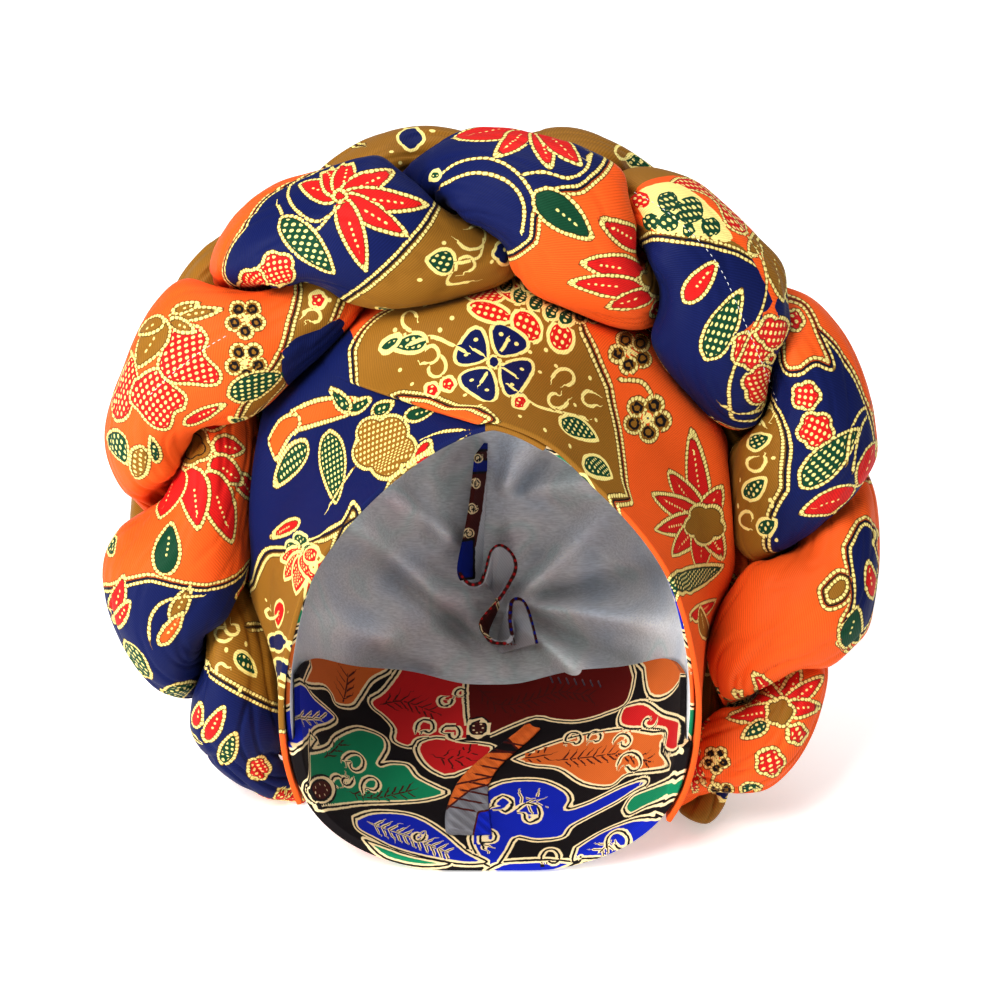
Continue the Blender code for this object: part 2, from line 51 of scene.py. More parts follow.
VIEW_DISTANCE = 1.0
VIEW_ELEVATION = math.radians(30)
PIXELS_PER_METRE = 2670.0
PICTURE_SIZE = 1000
MIDDLE_PIXEL = (490, 477)
SENSOR = 36.0

crown_low, crown_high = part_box("crown")
edge_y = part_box("band_left")[0].y
TARGET = Vector(((crown_low.x + crown_high.x) / 2.0, edge_y + 0.085, 0.1204))
BACKWARD = Vector((0.0, -math.cos(VIEW_ELEVATION), math.sin(VIEW_ELEVATION)))
EYE = TARGET + BACKWARD * VIEW_DISTANCE
EYE_UP = Vector((0.0, math.sin(VIEW_ELEVATION), math.cos(VIEW_ELEVATION)))
EYE_RIGHT = Vector((1.0, 0.0, 0.0))

AXIS_HEIGHT = 0.0954        # the head opening's middle
CAP_DEPTH = 0.170
CROWN_RISE = 0.010
HOLLOW_DEPTH = 0.08         # from the opening's edge to the hollow's middle
CLOTH_RADIUS = 0.095        # angles about the axis are turned to lengths with this radius
MIDDLE_X = TARGET.x

# Colours of the prints, as seen under even light
NAVY = (0.007, 0.013, 0.085)
OCHRE = (0.280, 0.130, 0.018)
ORANGE = (0.790, 0.117, 0.018)
RED = (0.590, 0.016, 0.014)
GREEN = (0.008, 0.060, 0.028)
CREAM = (0.860, 0.730, 0.270)
TAN = (0.230, 0.120, 0.020)
BLACK = (0.012, 0.009, 0.010)
DEEP_RED = (0.600, 0.020, 0.022)
FLAME = (0.640, 0.150, 0.030)
ROYAL = (0.008, 0.022, 0.400)
JADE = (0.010, 0.240, 0.110)
IVORY = (0.900, 0.720, 0.420)
BROWN = (0.075, 0.012, 0.010)
DARK_RED = (0.130, 0.008, 0.006)
BLUE_SHADE = (0.006, 0.018, 0.220)
GREY_SHADE = (0.20, 0.20, 0.22)
WRONG_SIDE = (0.62, 0.63, 0.66)

# Line styles. half: half width, pitch: of its beads or 0, offset: of the two lines of a double line,
# core: half width of the dark line in the middle, loose: 1 for separate beads. Metres.
STYLES = {
    # name: half, pitch, offset, core, loose, line colour, gap colour
    "beads": (0.00066, 0.00146, 0.0, 0.0, 0, CREAM, TAN),
    "solid": (0.00062, 0.0, 0.0, 0.0, 0, CREAM, CREAM),
    "border": (0.00064, 0.00146, 0.00128, 0.00030, 0, CREAM, TAN),
    "row": (0.00046, 0.00185, 0.0, 0.0, 1, CREAM, CREAM),
    "thin": (0.00028, 0.0, 0.0, 0.0, 0, BLACK, BLACK),
    "ring": (0.00045, 0.0, 0.0, 0.0, 0, BLACK, BLACK),
    "outline": (0.00062, 0.0, 0.00078, 0.00042, 0, IVORY, IVORY),
    "twig": (0.00036, 0.0, 0.0, 0.0, 0, BROWN, BROWN),
    "cream twig": (0.00042, 0.0, 0.00026, 0.00022, 0, IVORY, IVORY),
    "red edge": (0.00055, 0.00260, 0.0, 0.0, 0, DEEP_RED, BROWN),
    "blue edge": (0.00060, 0.00320, 0.0, 0.0, 0, ROYAL, BROWN),
    "none": (0.0, 0.0, 0.0, 0.0, 0, CREAM, CREAM),
}
PLAIN = 0.0
DOTTED = 1.0
REACH = 0.0042              # how far from a line the cloth still knows of it
SPOT_REACH = 0.0030         # how far from a dot the cloth still knows of it
GUESS_ERROR = 0.012         # how far a drawn place may lie from where its motif's slope puts it
FAR_OFF = 0.009             # distance given to a face that no line is near
STEP_OVER = 0.0009          # how far across a line its other side's colour is looked up


def pixel_ray(pixel):
    """Direction from the camera through a pixel of the picture."""
    across = (pixel[0] - MIDDLE_PIXEL[0]) / PIXELS_PER_METRE
    up = (MIDDLE_PIXEL[1] - pixel[1]) / PIXELS_PER_METRE
    ray = -BACKWARD * VIEW_DISTANCE + EYE_RIGHT * across + EYE_UP * up
    return ray.normalized()


def smooth(low, high, value):
    """0 below low, 1 above high and a soft step between."""
    share = np.clip((value - low) / (high - low), 0.0, 1.0)
    return share * share * (3.0 - 2.0 * share)


def catmull(values, at, closed=False):
    """Values at places between the rows of values, on a smooth curve through them all."""
    count = len(values)
    base = np.floor(at).astype(int)
    part = (at - base).reshape((-1,) + (1,) * (values.ndim - 1))
    rows = []
    for step in (-1, 0, 1, 2):
        index = base + step
        rows.append(values[index % count] if closed else values[np.clip(index, 0, count - 1)])
    a, b, c, d = rows
    return 0.5 * (2 * b + (c - a) * part + (2 * a - 5 * b + 4 * c - d) * part ** 2
                  + (3 * b - a - 3 * c + d) * part ** 3)


def eased(values, passes):
    """Values along a row with their corners softened."""
    for _ in range(passes):
        inner = 0.25 * values[:-2] + 0.5 * values[1:-1] + 0.25 * values[2:]
        values = np.concatenate([values[:1], inner, values[-1:]])
    return values


def cloth_noise(points, scale, seed):
    """Smooth noise from about -1 to 1 at each point, its points divided by scale first."""
    places = points / np.asarray(scale) + seed
    return np.array([noise.noise(Vector(p)) for p in places]) * 1.6


# ---------------------------------------------------------------- cloth with its own coordinates


class Cloth:
    """A piece's mesh with the coordinates that its print is laid out in."""

    def __init__(self, points, quads, corner_s, corner_w, period, stretch, locate):
        self.points = points
        self.quads = quads
        self.s = corner_s            # along the cloth at each face's corners
        self.w = corner_w            # across it
        self.period = period         # how far round it is, or 0 where it doesn't meet itself
        self.stretch = stretch       # real length of one unit of s at each face
        self.locate = locate         # coordinates of a place on a face
        self.tree = BVHTree.FromPolygons(points.tolist(), quads.tolist())
        self.motifs = []
        self.spots = []              # single dots: place and radius

    def hit(self, pixel):
        """Cloth coordinates under a pixel of the picture, or None."""
        place, _, index, _ = self.tree.ray_cast(EYE, pixel_ray(pixel))
        return None if place is None else np.array(self.locate(np.array(place), index))

    def lay(self, pixels, middle):
        """Cloth coordinates of a line drawn over the picture, carried on past the piece's edge."""
        origin = self.hit(middle)
        if origin is None:
            return None
        slopes = []
        for axis in ((5.0, 0.0), (0.0, 5.0)):
            ahead = self.hit((middle[0] + axis[0], middle[1] + axis[1]))
            behind = self.hit((middle[0] - axis[0], middle[1] - axis[1]))
            if ahead is not None and behind is not None:
                slopes.append((ahead - behind) / 10.0)
            elif ahead is not None:
                slopes.append((ahead - origin) / 5.0)
            elif behind is not None:
                slopes.append((origin - behind) / 5.0)
            else:
                slopes.append(np.zeros(2))
        placed = []
        for pixel in pixels:
            guess = origin + slopes[0] * (pixel[0] - middle[0]) + slopes[1] * (pixel[1] - middle[1])
            found = self.hit(pixel)
            allowed = GUESS_ERROR + 0.5 * np.hypot(*(guess - origin))
            near = found is not None and np.hypot(*(found - guess)) < allowed
            placed.append(found if near else guess)
        return np.array(placed)

    def add(self, line, closed, colour, style, filled=PLAIN):
        """A motif on top of the earlier ones: a closed shape, or an open line where colour is None."""
        self.motifs.append((np.asarray(line, dtype=float), closed, colour, style, filled))

    def draw(self, pixels, middle, closed, colour, style, filled=PLAIN):
        line = self.lay(pixels, middle)
        if line is not None:
            self.add(line, closed, colour, style, filled)
        return line


def inside_shape(s, w, shape):
    """Which places are inside a closed shape."""
    result = np.zeros(len(s), dtype=bool)
    before = shape[-1]
    for point in shape:
        rise = point[1] - before[1]
        if abs(rise) > 1e-12:
            crosses = (point[1] > w) != (before[1] > w)
            at = before[0] + (w - before[1]) * (point[0] - before[0]) / rise
            result ^= crosses & (s < at)
        before = point
    return result


def to_line(s, w, stretch, line, closed):
    """Distance to a line, side of it, place along it and nearest point, for many places."""
    ends = np.vstack([line, line[:1]]) if closed else line
    best = np.full(len(s), 1e9)
    side = np.ones(len(s))
    along = np.zeros(len(s))
    near_s = np.zeros(len(s))
    near_w = np.zeros(len(s))
    run = 0.0
    for first, second in zip(ends[:-1], ends[1:]):
        step_s = (second[0] - first[0]) * stretch
        step_w = second[1] - first[1]
        off_s = (s - first[0]) * stretch
        off_w = w - first[1]
        length2 = step_s ** 2 + step_w ** 2 + 1e-14
        share = np.clip((off_s * step_s + off_w * step_w) / length2, 0.0, 1.0)
        gap_s = off_s - share * step_s
        gap_w = off_w - share * step_w
        gap = np.hypot(gap_s, gap_w)
        closer = gap < best
        length = math.hypot(second[0] - first[0], second[1] - first[1])
        best = np.where(closer, gap, best)
        side = np.where(closer, np.sign(step_s * off_w - step_w * off_s + 1e-14), side)
        along = np.where(closer, run + share * length, along)
        near_s = np.where(closer, first[0] + share * (second[0] - first[0]), near_s)
        near_w = np.where(closer, first[1] + share * (second[1] - first[1]), near_w)
        run += length
    return best, side, along, near_s, near_w


def colour_at(cloth, s, w, period, ground):
    """Colour and filling of the top motif at each place, with its number (-1 for the ground)."""
    top = np.full(len(s), -1)
    colour = ground(s, w)
    filled = np.zeros(len(s))
    for number, (line, closed, tint, _, filling) in enumerate(cloth.motifs):
        if not closed:
            continue
        low = line.min(axis=0)
        high = line.max(axis=0)
        for turn in ((-1, 0, 1) if cloth.period is not None else (0,)):
            shifted = w + turn * period
            near = np.where((s > low[0]) & (s < high[0]) & (shifted > low[1]) & (shifted < high[1]))[0]
            if len(near) == 0:
                continue
            within = near[inside_shape(s[near], shifted[near], line)]
            top[within] = number
            if tint is not None:
                colour[within] = tint
                filled[within] = filling
    return top, colour, filled


def print_cloth(cloth, ground):
    """Attributes of every face and corner from which the material draws the print's lines and fillings."""
    count = len(cloth.quads)
    s = cloth.s.mean(axis=1)
    w = cloth.w.mean(axis=1)
    period = cloth.period if cloth.period is not None else np.zeros(count)
    top, colour, filled = colour_at(cloth, s, w, period, ground)
    score = np.full(count, 1e9)
    chosen = np.full(count, -1)
    chosen_turn = np.zeros(count)
    for number, (line, closed, _, style, _) in enumerate(cloth.motifs):
        half = STYLES[style][0] + STYLES[style][2]
        low = line.min(axis=0) - REACH
        high = line.max(axis=0) + REACH
        for turn in ((-1, 0, 1) if cloth.period is not None else (0,)):
            shifted = w + turn * period
            near = np.where((s > low[0]) & (s < high[0]) & (shifted > low[1]) & (shifted < high[1])
                            & (top <= number))[0]
            if len(near) == 0:
                continue
            gap, _, _, _, _ = to_line(s[near], shifted[near], cloth.stretch[near], line, closed)
            value = gap - half
            better = (value < score[near]) & (gap < REACH)
            picked = near[better]
            score[picked] = value[better]
            chosen[picked] = number
            chosen_turn[picked] = turn
    distance = np.full((count, 4), FAR_OFF)
    along = np.zeros((count, 4))
    inner = np.column_stack([colour, filled])
    outer = inner.copy()
    shape = np.zeros((count, 3))
    core = np.zeros((count, 3))
    line_colour = np.zeros((count, 4))
    gap_colour = np.zeros((count, 4))
    across_s = s.copy()
    across_w = w.copy()
    is_inside = np.ones(count, dtype=bool)
    for number in np.unique(chosen[chosen >= 0]):
        line, closed, _, style, _ = cloth.motifs[number]
        faces = np.where(chosen == number)[0]
        half, pitch, offset, dark, loose, tint, between = STYLES[style]
        turn = chosen_turn[faces]
        flat_s = cloth.s[faces].ravel()
        flat_w = (cloth.w[faces] + (turn * period[faces])[:, None]).ravel()
        stretch = np.repeat(cloth.stretch[faces], 4)
        gap, side, run, _, _ = to_line(flat_s, flat_w, stretch, line, closed)
        if closed:
            side = np.where(inside_shape(flat_s, flat_w, line), -1.0, 1.0)
        distance[faces] = (gap * side).reshape(-1, 4)
        runs = run.reshape(-1, 4)
        total = np.hypot(*(np.diff(np.vstack([line, line[:1]]) if closed else line, axis=0).T)).sum()
        middle = runs[:, :1]
        runs = np.where(runs - middle > total / 2, runs - total, runs)
        runs = np.where(middle - runs > total / 2, runs + total, runs)
        along[faces] = runs
        centre_s = s[faces]
        centre_w = w[faces] + turn * period[faces]
        gap, side, _, near_s, near_w = to_line(centre_s, centre_w, cloth.stretch[faces], line, closed)
        if closed:
            side = np.where(inside_shape(centre_s, centre_w, line), -1.0, 1.0)
        away_s = centre_s - near_s
        away_w = centre_w - near_w
        size = np.hypot(away_s, away_w) + 1e-9
        across_s[faces] = near_s - away_s / size * STEP_OVER
        across_w[faces] = near_w - away_w / size * STEP_OVER - turn * period[faces]
        is_inside[faces] = side < 0
        shape[faces] = (half, pitch, offset)
        core[faces] = (dark, loose, 0.0)
        line_colour[faces] = (*tint, 1.0)
        gap_colour[faces] = (*between, 1.0)
    _, far, far_filled = colour_at(cloth, across_s, across_w, period, ground)
    far = np.column_stack([far, far_filled])
    own = inner.copy()
    inner = np.where(is_inside[:, None], own, far)
    outer = np.where(is_inside[:, None], far, own)
    return {"line_place": np.dstack([distance, along, np.zeros_like(along)]).reshape(-1, 3),
            "line_shape": shape, "line_core": core, "inner_colour": inner, "outer_colour": outer,
            "line_colour": line_colour, "gap_colour": gap_colour}


def nearest_spots(cloth):
    """The dot nearest to each face, as its place and radius, or zeros far from them all."""
    s, w = cloth.s.mean(axis=1), cloth.w.mean(axis=1)
    nearest = np.zeros((len(s), 3))
    best = np.full(len(s), SPOT_REACH)
    for spot in cloth.spots:
        gap = np.hypot(s - spot[0], w - spot[1])
        closer = gap < best
        nearest[closer] = spot
        best[closer] = gap[closer]
    return nearest


def write_print(mesh, cloth, printed, extra_corners=0, extra_faces=0):
    """The print's attributes and the cloth's coordinates, put on a mesh whose quads come first."""
    def put(name, kind, domain, values, fill):
        values = np.asarray(values, dtype=np.float32)
        extra = extra_corners if domain == "CORNER" else extra_faces
        if extra:
            values = np.vstack([values, np.tile(np.float32(fill), (extra, 1))])
        attribute = mesh.attributes.new(name, kind, domain)
        key = "color" if kind == "FLOAT_COLOR" else "vector"
        attribute.data.foreach_set(key, values.ravel())

    put("line_place", "FLOAT_VECTOR", "CORNER", printed["line_place"], (FAR_OFF, 0.0, 0.0))
    put("line_shape", "FLOAT_VECTOR", "FACE", printed["line_shape"], (0.0, 0.0, 0.0))
    put("line_core", "FLOAT_VECTOR", "FACE", printed["line_core"], (0.0, 0.0, 0.0))
    for name in ("inner_colour", "outer_colour", "line_colour", "gap_colour"):
        put(name, "FLOAT_COLOR", "FACE", printed[name], (*ORANGE, 0.0))
    put("spot_place", "FLOAT_VECTOR", "FACE", nearest_spots(cloth), (0.0, 0.0, 0.0))
    places = np.dstack([cloth.s, cloth.w, np.zeros_like(cloth.s)]).reshape(-1, 3)
    put("cloth_place", "FLOAT_VECTOR", "CORNER", places, (0.0, 0.0, 0.0))


# ---------------------------------------------------------------- shapes of the print, in pixels


def turned(shape, centre, angle):
    """A shape about the origin, turned and put at a centre."""
    cos, sin = math.cos(angle), math.sin(angle)
    return [(centre[0] + x * cos - y * sin, centre[1] + x * sin + y * cos) for x, y in shape]


def on_ring(centre, radius, angle):
    """A place on a ring round a centre."""
    return centre[0] + radius * math.cos(angle), centre[1] + radius * math.sin(angle)


def petal_shape(base, tip, width, point=1.0):
    """Outline of a pointed petal or leaf from its base to its tip, with its full width."""
    dx, dy = tip[0] - base[0], tip[1] - base[1]
    length = math.hypot(dx, dy)
    ux, uy = dx / length, dy / length
    left, right = [], []
    for t in np.linspace(0.0, 1.0, 13):
        half = 0.5 * width * math.sin(math.pi * t ** 0.72) ** (0.75 * point)
        along = t * length
        left.append((base[0] + ux * along - uy * half, base[1] + uy * along + ux * half))
        right.append((base[0] + ux * along + uy * half, base[1] + uy * along - ux * half))
    return left + right[-2:0:-1]


def between(base, tip, low, high, count=5):
    """Places on the straight line from base to tip, from one share of it to another."""
    return [(base[0] + (tip[0] - base[0]) * t, base[1] + (tip[1] - base[1]) * t)
            for t in np.linspace(low, high, count)]


def halfway(base, tip):
    """The middle between two places."""
    return between(base, tip, 0.5, 0.5, 1)[0]


def lobed_shape(centre, radius, lobes, depth, turn=0.0, squash=1.0, count=60):
    """Outline of a blossom with rounded lobes."""
    shape = []
    for k in range(count):
        angle = 2.0 * math.pi * k / count
        reach = radius * (1.0 - depth + depth * abs(math.cos(0.5 * lobes * angle)) ** 0.7)
        shape.append((reach * math.cos(angle), reach * math.sin(angle) * squash))
    return turned(shape, centre, turn)


def spiral(centre, radius, start, sweep, tightness=0.62):
    """A scroll that winds in towards its centre."""
    line = []
    for t in np.linspace(0.0, 1.0, 16):
        line.append(on_ring(centre, radius * (1.0 - tightness * t), math.radians(start + sweep * t)))
    return line


def curve(points, per=6):
    """A smooth line through some points."""
    points = np.array(points, dtype=float)
    if len(points) < 3:
        return [tuple(p) for p in catmull(points, np.linspace(0, len(points) - 1.0001, 6))]
    at = np.linspace(0.0, len(points) - 1.0001, per * (len(points) - 1) + 1)
    return [tuple(p) for p in catmull(points, at)]


def petal(cloth, base, tip, width, colour=RED, style="beads", row=True, filled=PLAIN):
    """A pointed petal with a row of beads along its middle."""
    middle = halfway(base, tip)
    if cloth.draw(petal_shape(base, tip, width), middle, True, colour, style, filled) is None:
        return
    if row:
        cloth.draw(between(base, tip, 0.34, 0.72), middle, False, None, "row")


def flower(cloth, centre, tips, width, heart, colour=RED, heart_colour=RED, style="beads"):
    """A flower with a pointed petal to each tip."""
    for tip in tips:
        petal(cloth, centre, tip, width, colour, style)
    cloth.draw(lobed_shape(centre, heart, 5, 0.15), centre, True, heart_colour, style)


def leaf(cloth, base, tip, width, style="beads", colour=GREEN):
    """A green leaf filled with dots."""
    middle = halfway(base, tip)
    cloth.draw(petal_shape(base, tip, width), middle, True, colour, style, DOTTED)


def row_leaf(cloth, base, tip, width):
    """A green leaf with one row of beads."""
    petal(cloth, base, tip, width, GREEN)


def blossom(cloth, centre, radius, colour=RED, style="beads", lobes=5, turn=0.0, filled=DOTTED):
    """A dotted blossom with scalloped lobes."""
    cloth.draw(lobed_shape(centre, radius, lobes, 0.22, turn), centre, True, colour, style, filled)


def small_flower(cloth, centre, radius, colour=OCHRE, style="beads", turn=0.3):
    """A small flower of five round petals, each with a dark ring in it."""
    for k in range(5):
        spot = on_ring(centre, 0.64 * radius, turn + 2.0 * math.pi * k / 5.0)
        cloth.draw(lobed_shape(spot, 0.40 * radius, 3, 0.0, count=16), spot, True, colour, style)
    for k in range(5):
        spot = on_ring(centre, 0.62 * radius, turn + 2.0 * math.pi * k / 5.0)
        cloth.draw(lobed_shape(spot, 0.22 * radius, 3, 0.0, count=16), spot, True, colour, "ring")
    cloth.draw(lobed_shape(centre, 0.17 * radius, 3, 0.0, count=12), centre, True, NAVY, "solid")


def patch(cloth, pixels, colour, style="beads", filled=PLAIN):
    """A freely shaped motif through some pixels."""
    pixels = np.array(pixels, dtype=float)
    cloth.draw(curve([*pixels, pixels[0]], 4)[:-1], tuple(pixels.mean(axis=0)), True, colour, style, filled)


def round_flower(cloth, centre, radius, colour=NAVY, style="solid", turn=0.0):
    """A four-petal flower whose broad petals carry cream dots."""
    for k in range(4):
        angle = turn + 2.0 * math.pi * k / 4.0
        tip = on_ring(centre, radius, angle)
        base = on_ring(centre, 0.2 * radius, angle)
        middle = halfway(base, tip)
        shape = []
        for t in np.linspace(0.0, 1.0, 20):
            turn_at = 2.0 * math.pi * t
            along = 0.5 - 0.5 * math.cos(turn_at)
            wide = 0.72 * math.sin(turn_at) * (0.35 + 0.65 * along)
            notch = 0.10 * math.exp(-(wide / 0.10) ** 2) * along ** 4
            reach = radius * (0.2 + 0.8 * along - notch)
            shape.append((reach, wide * radius))
        cloth.draw(turned(shape, centre, angle), middle, True, colour, style)
        cloth.draw(between(base, tip, 0.15, 0.5, 3), middle, False, None, "solid")
        for aside in (-0.32, 0.32):
            dot(cloth, on_ring(centre, 0.72 * radius, angle + aside))
    cloth.draw(lobed_shape(centre, 0.16 * radius, 3, 0.0), centre, True, colour, style)


SPOT_RADIUS = 0.00072
SMALL_SPOT_RADIUS = 0.00050


def dot(cloth, centre, radius=SPOT_RADIUS):
    """One cream dot."""
    place = cloth.hit(centre)
    if place is not None:
        cloth.spots.append((*place, radius))


def dots(cloth, centres):
    """Several cream dots."""
    for centre in centres:
        dot(cloth, centre)


def round_petal(cloth, centre, long_half, short_half, tilt):
    """A red, dotted petal with a rounded tip."""
    shape = [(long_half * math.cos(a), short_half * math.sin(a)) for a in np.linspace(0.0, 2.0 * math.pi,
                                                                                      24)[:-1]]
    cloth.draw(turned(shape, centre, tilt), centre, True, RED, "solid", DOTTED)


SCROLL_SCALE = 1.4
SCROLL_TURN = 0.82


def scroll(cloth, centre, radius, start, sweep, style="solid"):
    """A scroll."""
    line = spiral(centre, SCROLL_SCALE * radius, start, SCROLL_TURN * sweep)
    cloth.draw(line, centre, False, None, style)


def stem(cloth, points, style="solid"):
    """A smooth stem through some pixels."""
    cloth.draw(curve(points), points[len(points) // 2], False, None, style)


# ---------------------------------------------------------------- the plait's strands

STRAND_SIDES = 12
STRAND_ROWS = 560
STRAND_COLUMNS = 120


def strand_rings(node):
    """Rings of points of a strand from its left end to its right one, with a ring of one point at each."""
    work = bmesh.new()
    work.from_mesh(node.data)
    bmesh.ops.remove_doubles(work, verts=work.verts, dist=2e-5)
    work.verts.ensure_lookup_table()
    poles = sorted((v for v in work.verts if len(v.link_edges) == STRAND_SIDES), key=lambda v: v.co.x)
    layer = {poles[0]: 0}
    front = [poles[0]]
    layers = [[poles[0]]]
    while front:
        following = []
        for vertex in front:
            for edge in vertex.link_edges:
                other = edge.other_vert(vertex)
                if other not in layer:
                    layer[other] = layer[vertex] + 1
                    following.append(other)
        if following:
            layers.append(following)
        front = following
    rings = []
    for members in layers[1:-1]:
        ring = [members[0]]
        while len(ring) < len(members):
            beside = [e.other_vert(ring[-1]) for e in ring[-1].link_edges]
            beside = [v for v in beside if layer[v] == layer[ring[0]] and v not in ring]
            if not beside:
                break
            ring.append(beside[0])
        rings.append(np.array([v.co for v in ring]))
    ends = np.array(layers[0][0].co), np.array(layers[-1][0].co)
    work.free()
    middles = [ring.mean(axis=0) for ring in rings]
    ordered = []
    for k, ring in enumerate(rings):
        along = middles[min(k + 1, len(rings) - 1)] - middles[max(k - 1, 0)]
        area = sum(np.cross(ring[j] - middles[k], ring[(j + 1) % len(ring)] - middles[k])
                   for j in range(len(ring)))
        if np.dot(area, along) < 0:
            ring = ring[::-1]
        if ordered:
            shifts = [np.sum((np.roll(ring, -j, axis=0) - ordered[-1]) ** 2) for j in range(len(ring))]
            ring = np.roll(ring, -int(np.argmin(shifts)), axis=0)
        ordered.append(ring)
    tips = [np.tile(end, (STRAND_SIDES, 1)) for end in ends]
    return np.array([tips[0], *ordered, tips[1]])


def strand_lattice(node):
    """Fine lattice over a strand. Its columns start at the back and count round by way of the front."""
    rings = strand_rings(node)
    at = np.linspace(0.12, len(rings) - 1.12, STRAND_ROWS)
    rows = catmull(rings, at)
    middles = eased(rows.mean(axis=1), 12)
    along = np.gradient(middles, axis=0)
    along /= np.linalg.norm(along, axis=1, keepdims=True)
    facing = np.array(EYE) - middles
    facing -= along * np.sum(facing * along, axis=1, keepdims=True)
    facing /= np.linalg.norm(facing, axis=1, keepdims=True)
    aside = np.cross(along, facing)
    fine_at = np.arange(0, STRAND_SIDES, 1.0 / 16.0)
    lattice = np.zeros((STRAND_ROWS, STRAND_COLUMNS, 3))
    girth = np.zeros(STRAND_ROWS)
    for i in range(STRAND_ROWS):
        fine = catmull(rows[i], fine_at, closed=True)
        offset = fine - middles[i]
        angle = np.arctan2(offset @ aside[i], offset @ facing[i])
        start = int(np.argmin(np.abs(angle)))
        fine = np.roll(fine, -start, axis=0)
        loop = np.vstack([fine, fine[:1]])
        run = np.concatenate([[0.0], np.cumsum(np.linalg.norm(np.diff(loop, axis=0), axis=1))])
        girth[i] = run[-1]
        shift = angle[start] / (2.0 * math.pi)
        want = (np.arange(STRAND_COLUMNS) / STRAND_COLUMNS + 0.5 - shift) % 1.0 * run[-1]
        for axis in range(3):
            lattice[i, :, axis] = np.interp(want, run, loop[:, axis])
    spread = 0.25 * np.roll(lattice, 1, axis=1) + 0.5 * lattice + 0.25 * np.roll(lattice, -1, axis=1)
    lattice = 0.3 * lattice + 0.7 * spread
    return lattice, middles, girth, rings[0][0], rings[-1][0]


def lattice_normals(lattice):
    """Outward directions at a closed lattice's points."""
    along = np.gradient(lattice, axis=0)
    around = np.roll(lattice, -1, axis=1) - np.roll(lattice, 1, axis=1)
    out = np.cross(around, along)
    return out / (np.linalg.norm(out, axis=2, keepdims=True) + 1e-12)


CREASE_DEPTH = 0.0017
CREASE_LENGTH = 0.042
CREASE_WIDTH = 0.0065
DENT_DEPTH = 0.0011
DENT_SIZE = 0.024


def crease_strand(lattice, girth, run, seed):
    """Dents of the filling, and creases where the strand is squeezed between its neighbours."""
    shares = (np.arange(STRAND_COLUMNS) / STRAND_COLUMNS - 0.5) * 2.0 * math.pi
    full = np.percentile(girth, 92)
    squeezed = 0.35 + 0.65 * smooth(0.05, 0.30, 1.0 - girth / full)
    radius = girth / (2.0 * math.pi)
    s = np.repeat(run[:, None], STRAND_COLUMNS, axis=1)
    places = np.stack([s, radius[:, None] * np.cos(shares), radius[:, None] * np.sin(shares)], axis=2)
    flat = places.reshape(-1, 3)
    folds = cloth_noise(flat, (CREASE_LENGTH, CREASE_WIDTH, CREASE_WIDTH), seed)
    dents = cloth_noise(flat, (DENT_SIZE, DENT_SIZE, DENT_SIZE), seed + 7.0)
    folds = -np.clip(1.0 - np.abs(folds) * 2.6, 0.0, 1.0) ** 2
    height = (CREASE_DEPTH * squeezed[:, None] * folds.reshape(s.shape)
              + DENT_DEPTH * dents.reshape(s.shape))
    ends = smooth(0.0, 0.012, run)[:, None] * smooth(0.0, 0.012, run[-1] - run)[:, None]
    return lattice + lattice_normals(lattice) * (height * ends)[..., None]


def strand_cloth(name, seed):
    """A strand's cloth, its lattice points, and the faces of its two ends."""
    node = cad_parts[name]
    lattice, middles, girth, first, last = strand_lattice(node)
    run = np.concatenate([[0.0], np.cumsum(np.linalg.norm(np.diff(middles, axis=0), axis=1))])
    lattice = crease_strand(lattice, girth, run, seed)
    rows, columns = STRAND_ROWS, STRAND_COLUMNS
    i = np.repeat(np.arange(rows - 1), columns)
    j = np.tile(np.arange(columns), rows - 1)
    right = (j + 1) % columns
    quads = np.stack([i * columns + j, i * columns + right,
                      (i + 1) * columns + right, (i + 1) * columns + j], axis=1)
    w_low = (j / columns - 0.5)
    w_high = ((j + 1) / columns - 0.5)
    corner_s = np.stack([run[i], run[i], run[i + 1], run[i + 1]], axis=1)
    corner_w = np.stack([w_low * girth[i], w_high * girth[i],
                         w_high * girth[i + 1], w_low * girth[i + 1]], axis=1)
    corners = lattice.reshape(-1, 3)
    real = np.linalg.norm(corners[quads[:, 3]] - corners[quads[:, 0]], axis=1)
    stretch = np.clip(real / (run[i + 1] - run[i]), 0.5, 2.0)

    def locate(place, index):
        row, column = int(i[index]), int(j[index])
        corner = corners[quads[index, 0]]
        edge_w = corners[quads[index, 1]] - corner
        edge_s = corners[quads[index, 3]] - corner
        part_w = np.dot(place - corner, edge_w) / np.dot(edge_w, edge_w)
        part_s = np.dot(place - corner, edge_s) / np.dot(edge_s, edge_s)
        part_w, part_s = np.clip(part_w, 0, 1), np.clip(part_s, 0, 1)
        return (run[row] + part_s * (run[row + 1] - run[row]),
                ((column + part_w) / columns - 0.5) * girth[row])

    cloth = Cloth(corners, quads, corner_s, corner_w, girth[i], stretch, locate)
    cloth.run = run
    tip_faces = []
    end_row = (rows - 1) * columns
    for side in range(columns):
        tip_faces.append((side, rows * columns, (side + 1) % columns))
        tip_faces.append((end_row + side, end_row + (side + 1) % columns, rows * columns + 1))
    cloth.tips = np.array([first, last])
    cloth.tip_faces = tip_faces
    return cloth


# ---------------------------------------------------------------- the cap's own pieces


def axis_height(depth):
    """Height of the cap's axis at a depth behind the opening's edge."""
    past = np.clip((depth / CAP_DEPTH - 0.5) / 0.5, 0.0, 1.0)
    return AXIS_HEIGHT + CROWN_RISE * past ** 2


def turn_about_axis(points, cut):
    """Angle of points about the cap's axis in degrees, from cut to a full turn above it."""
    depth = points[..., 1] - edge_y
    angle = np.degrees(np.arctan2(points[..., 2] - axis_height(depth), points[..., 0] - MIDDLE_X))
    return (angle - cut) % 360.0 + cut


LIP_DEPTH = 0.006
LIP_INSIDE = 0.0055


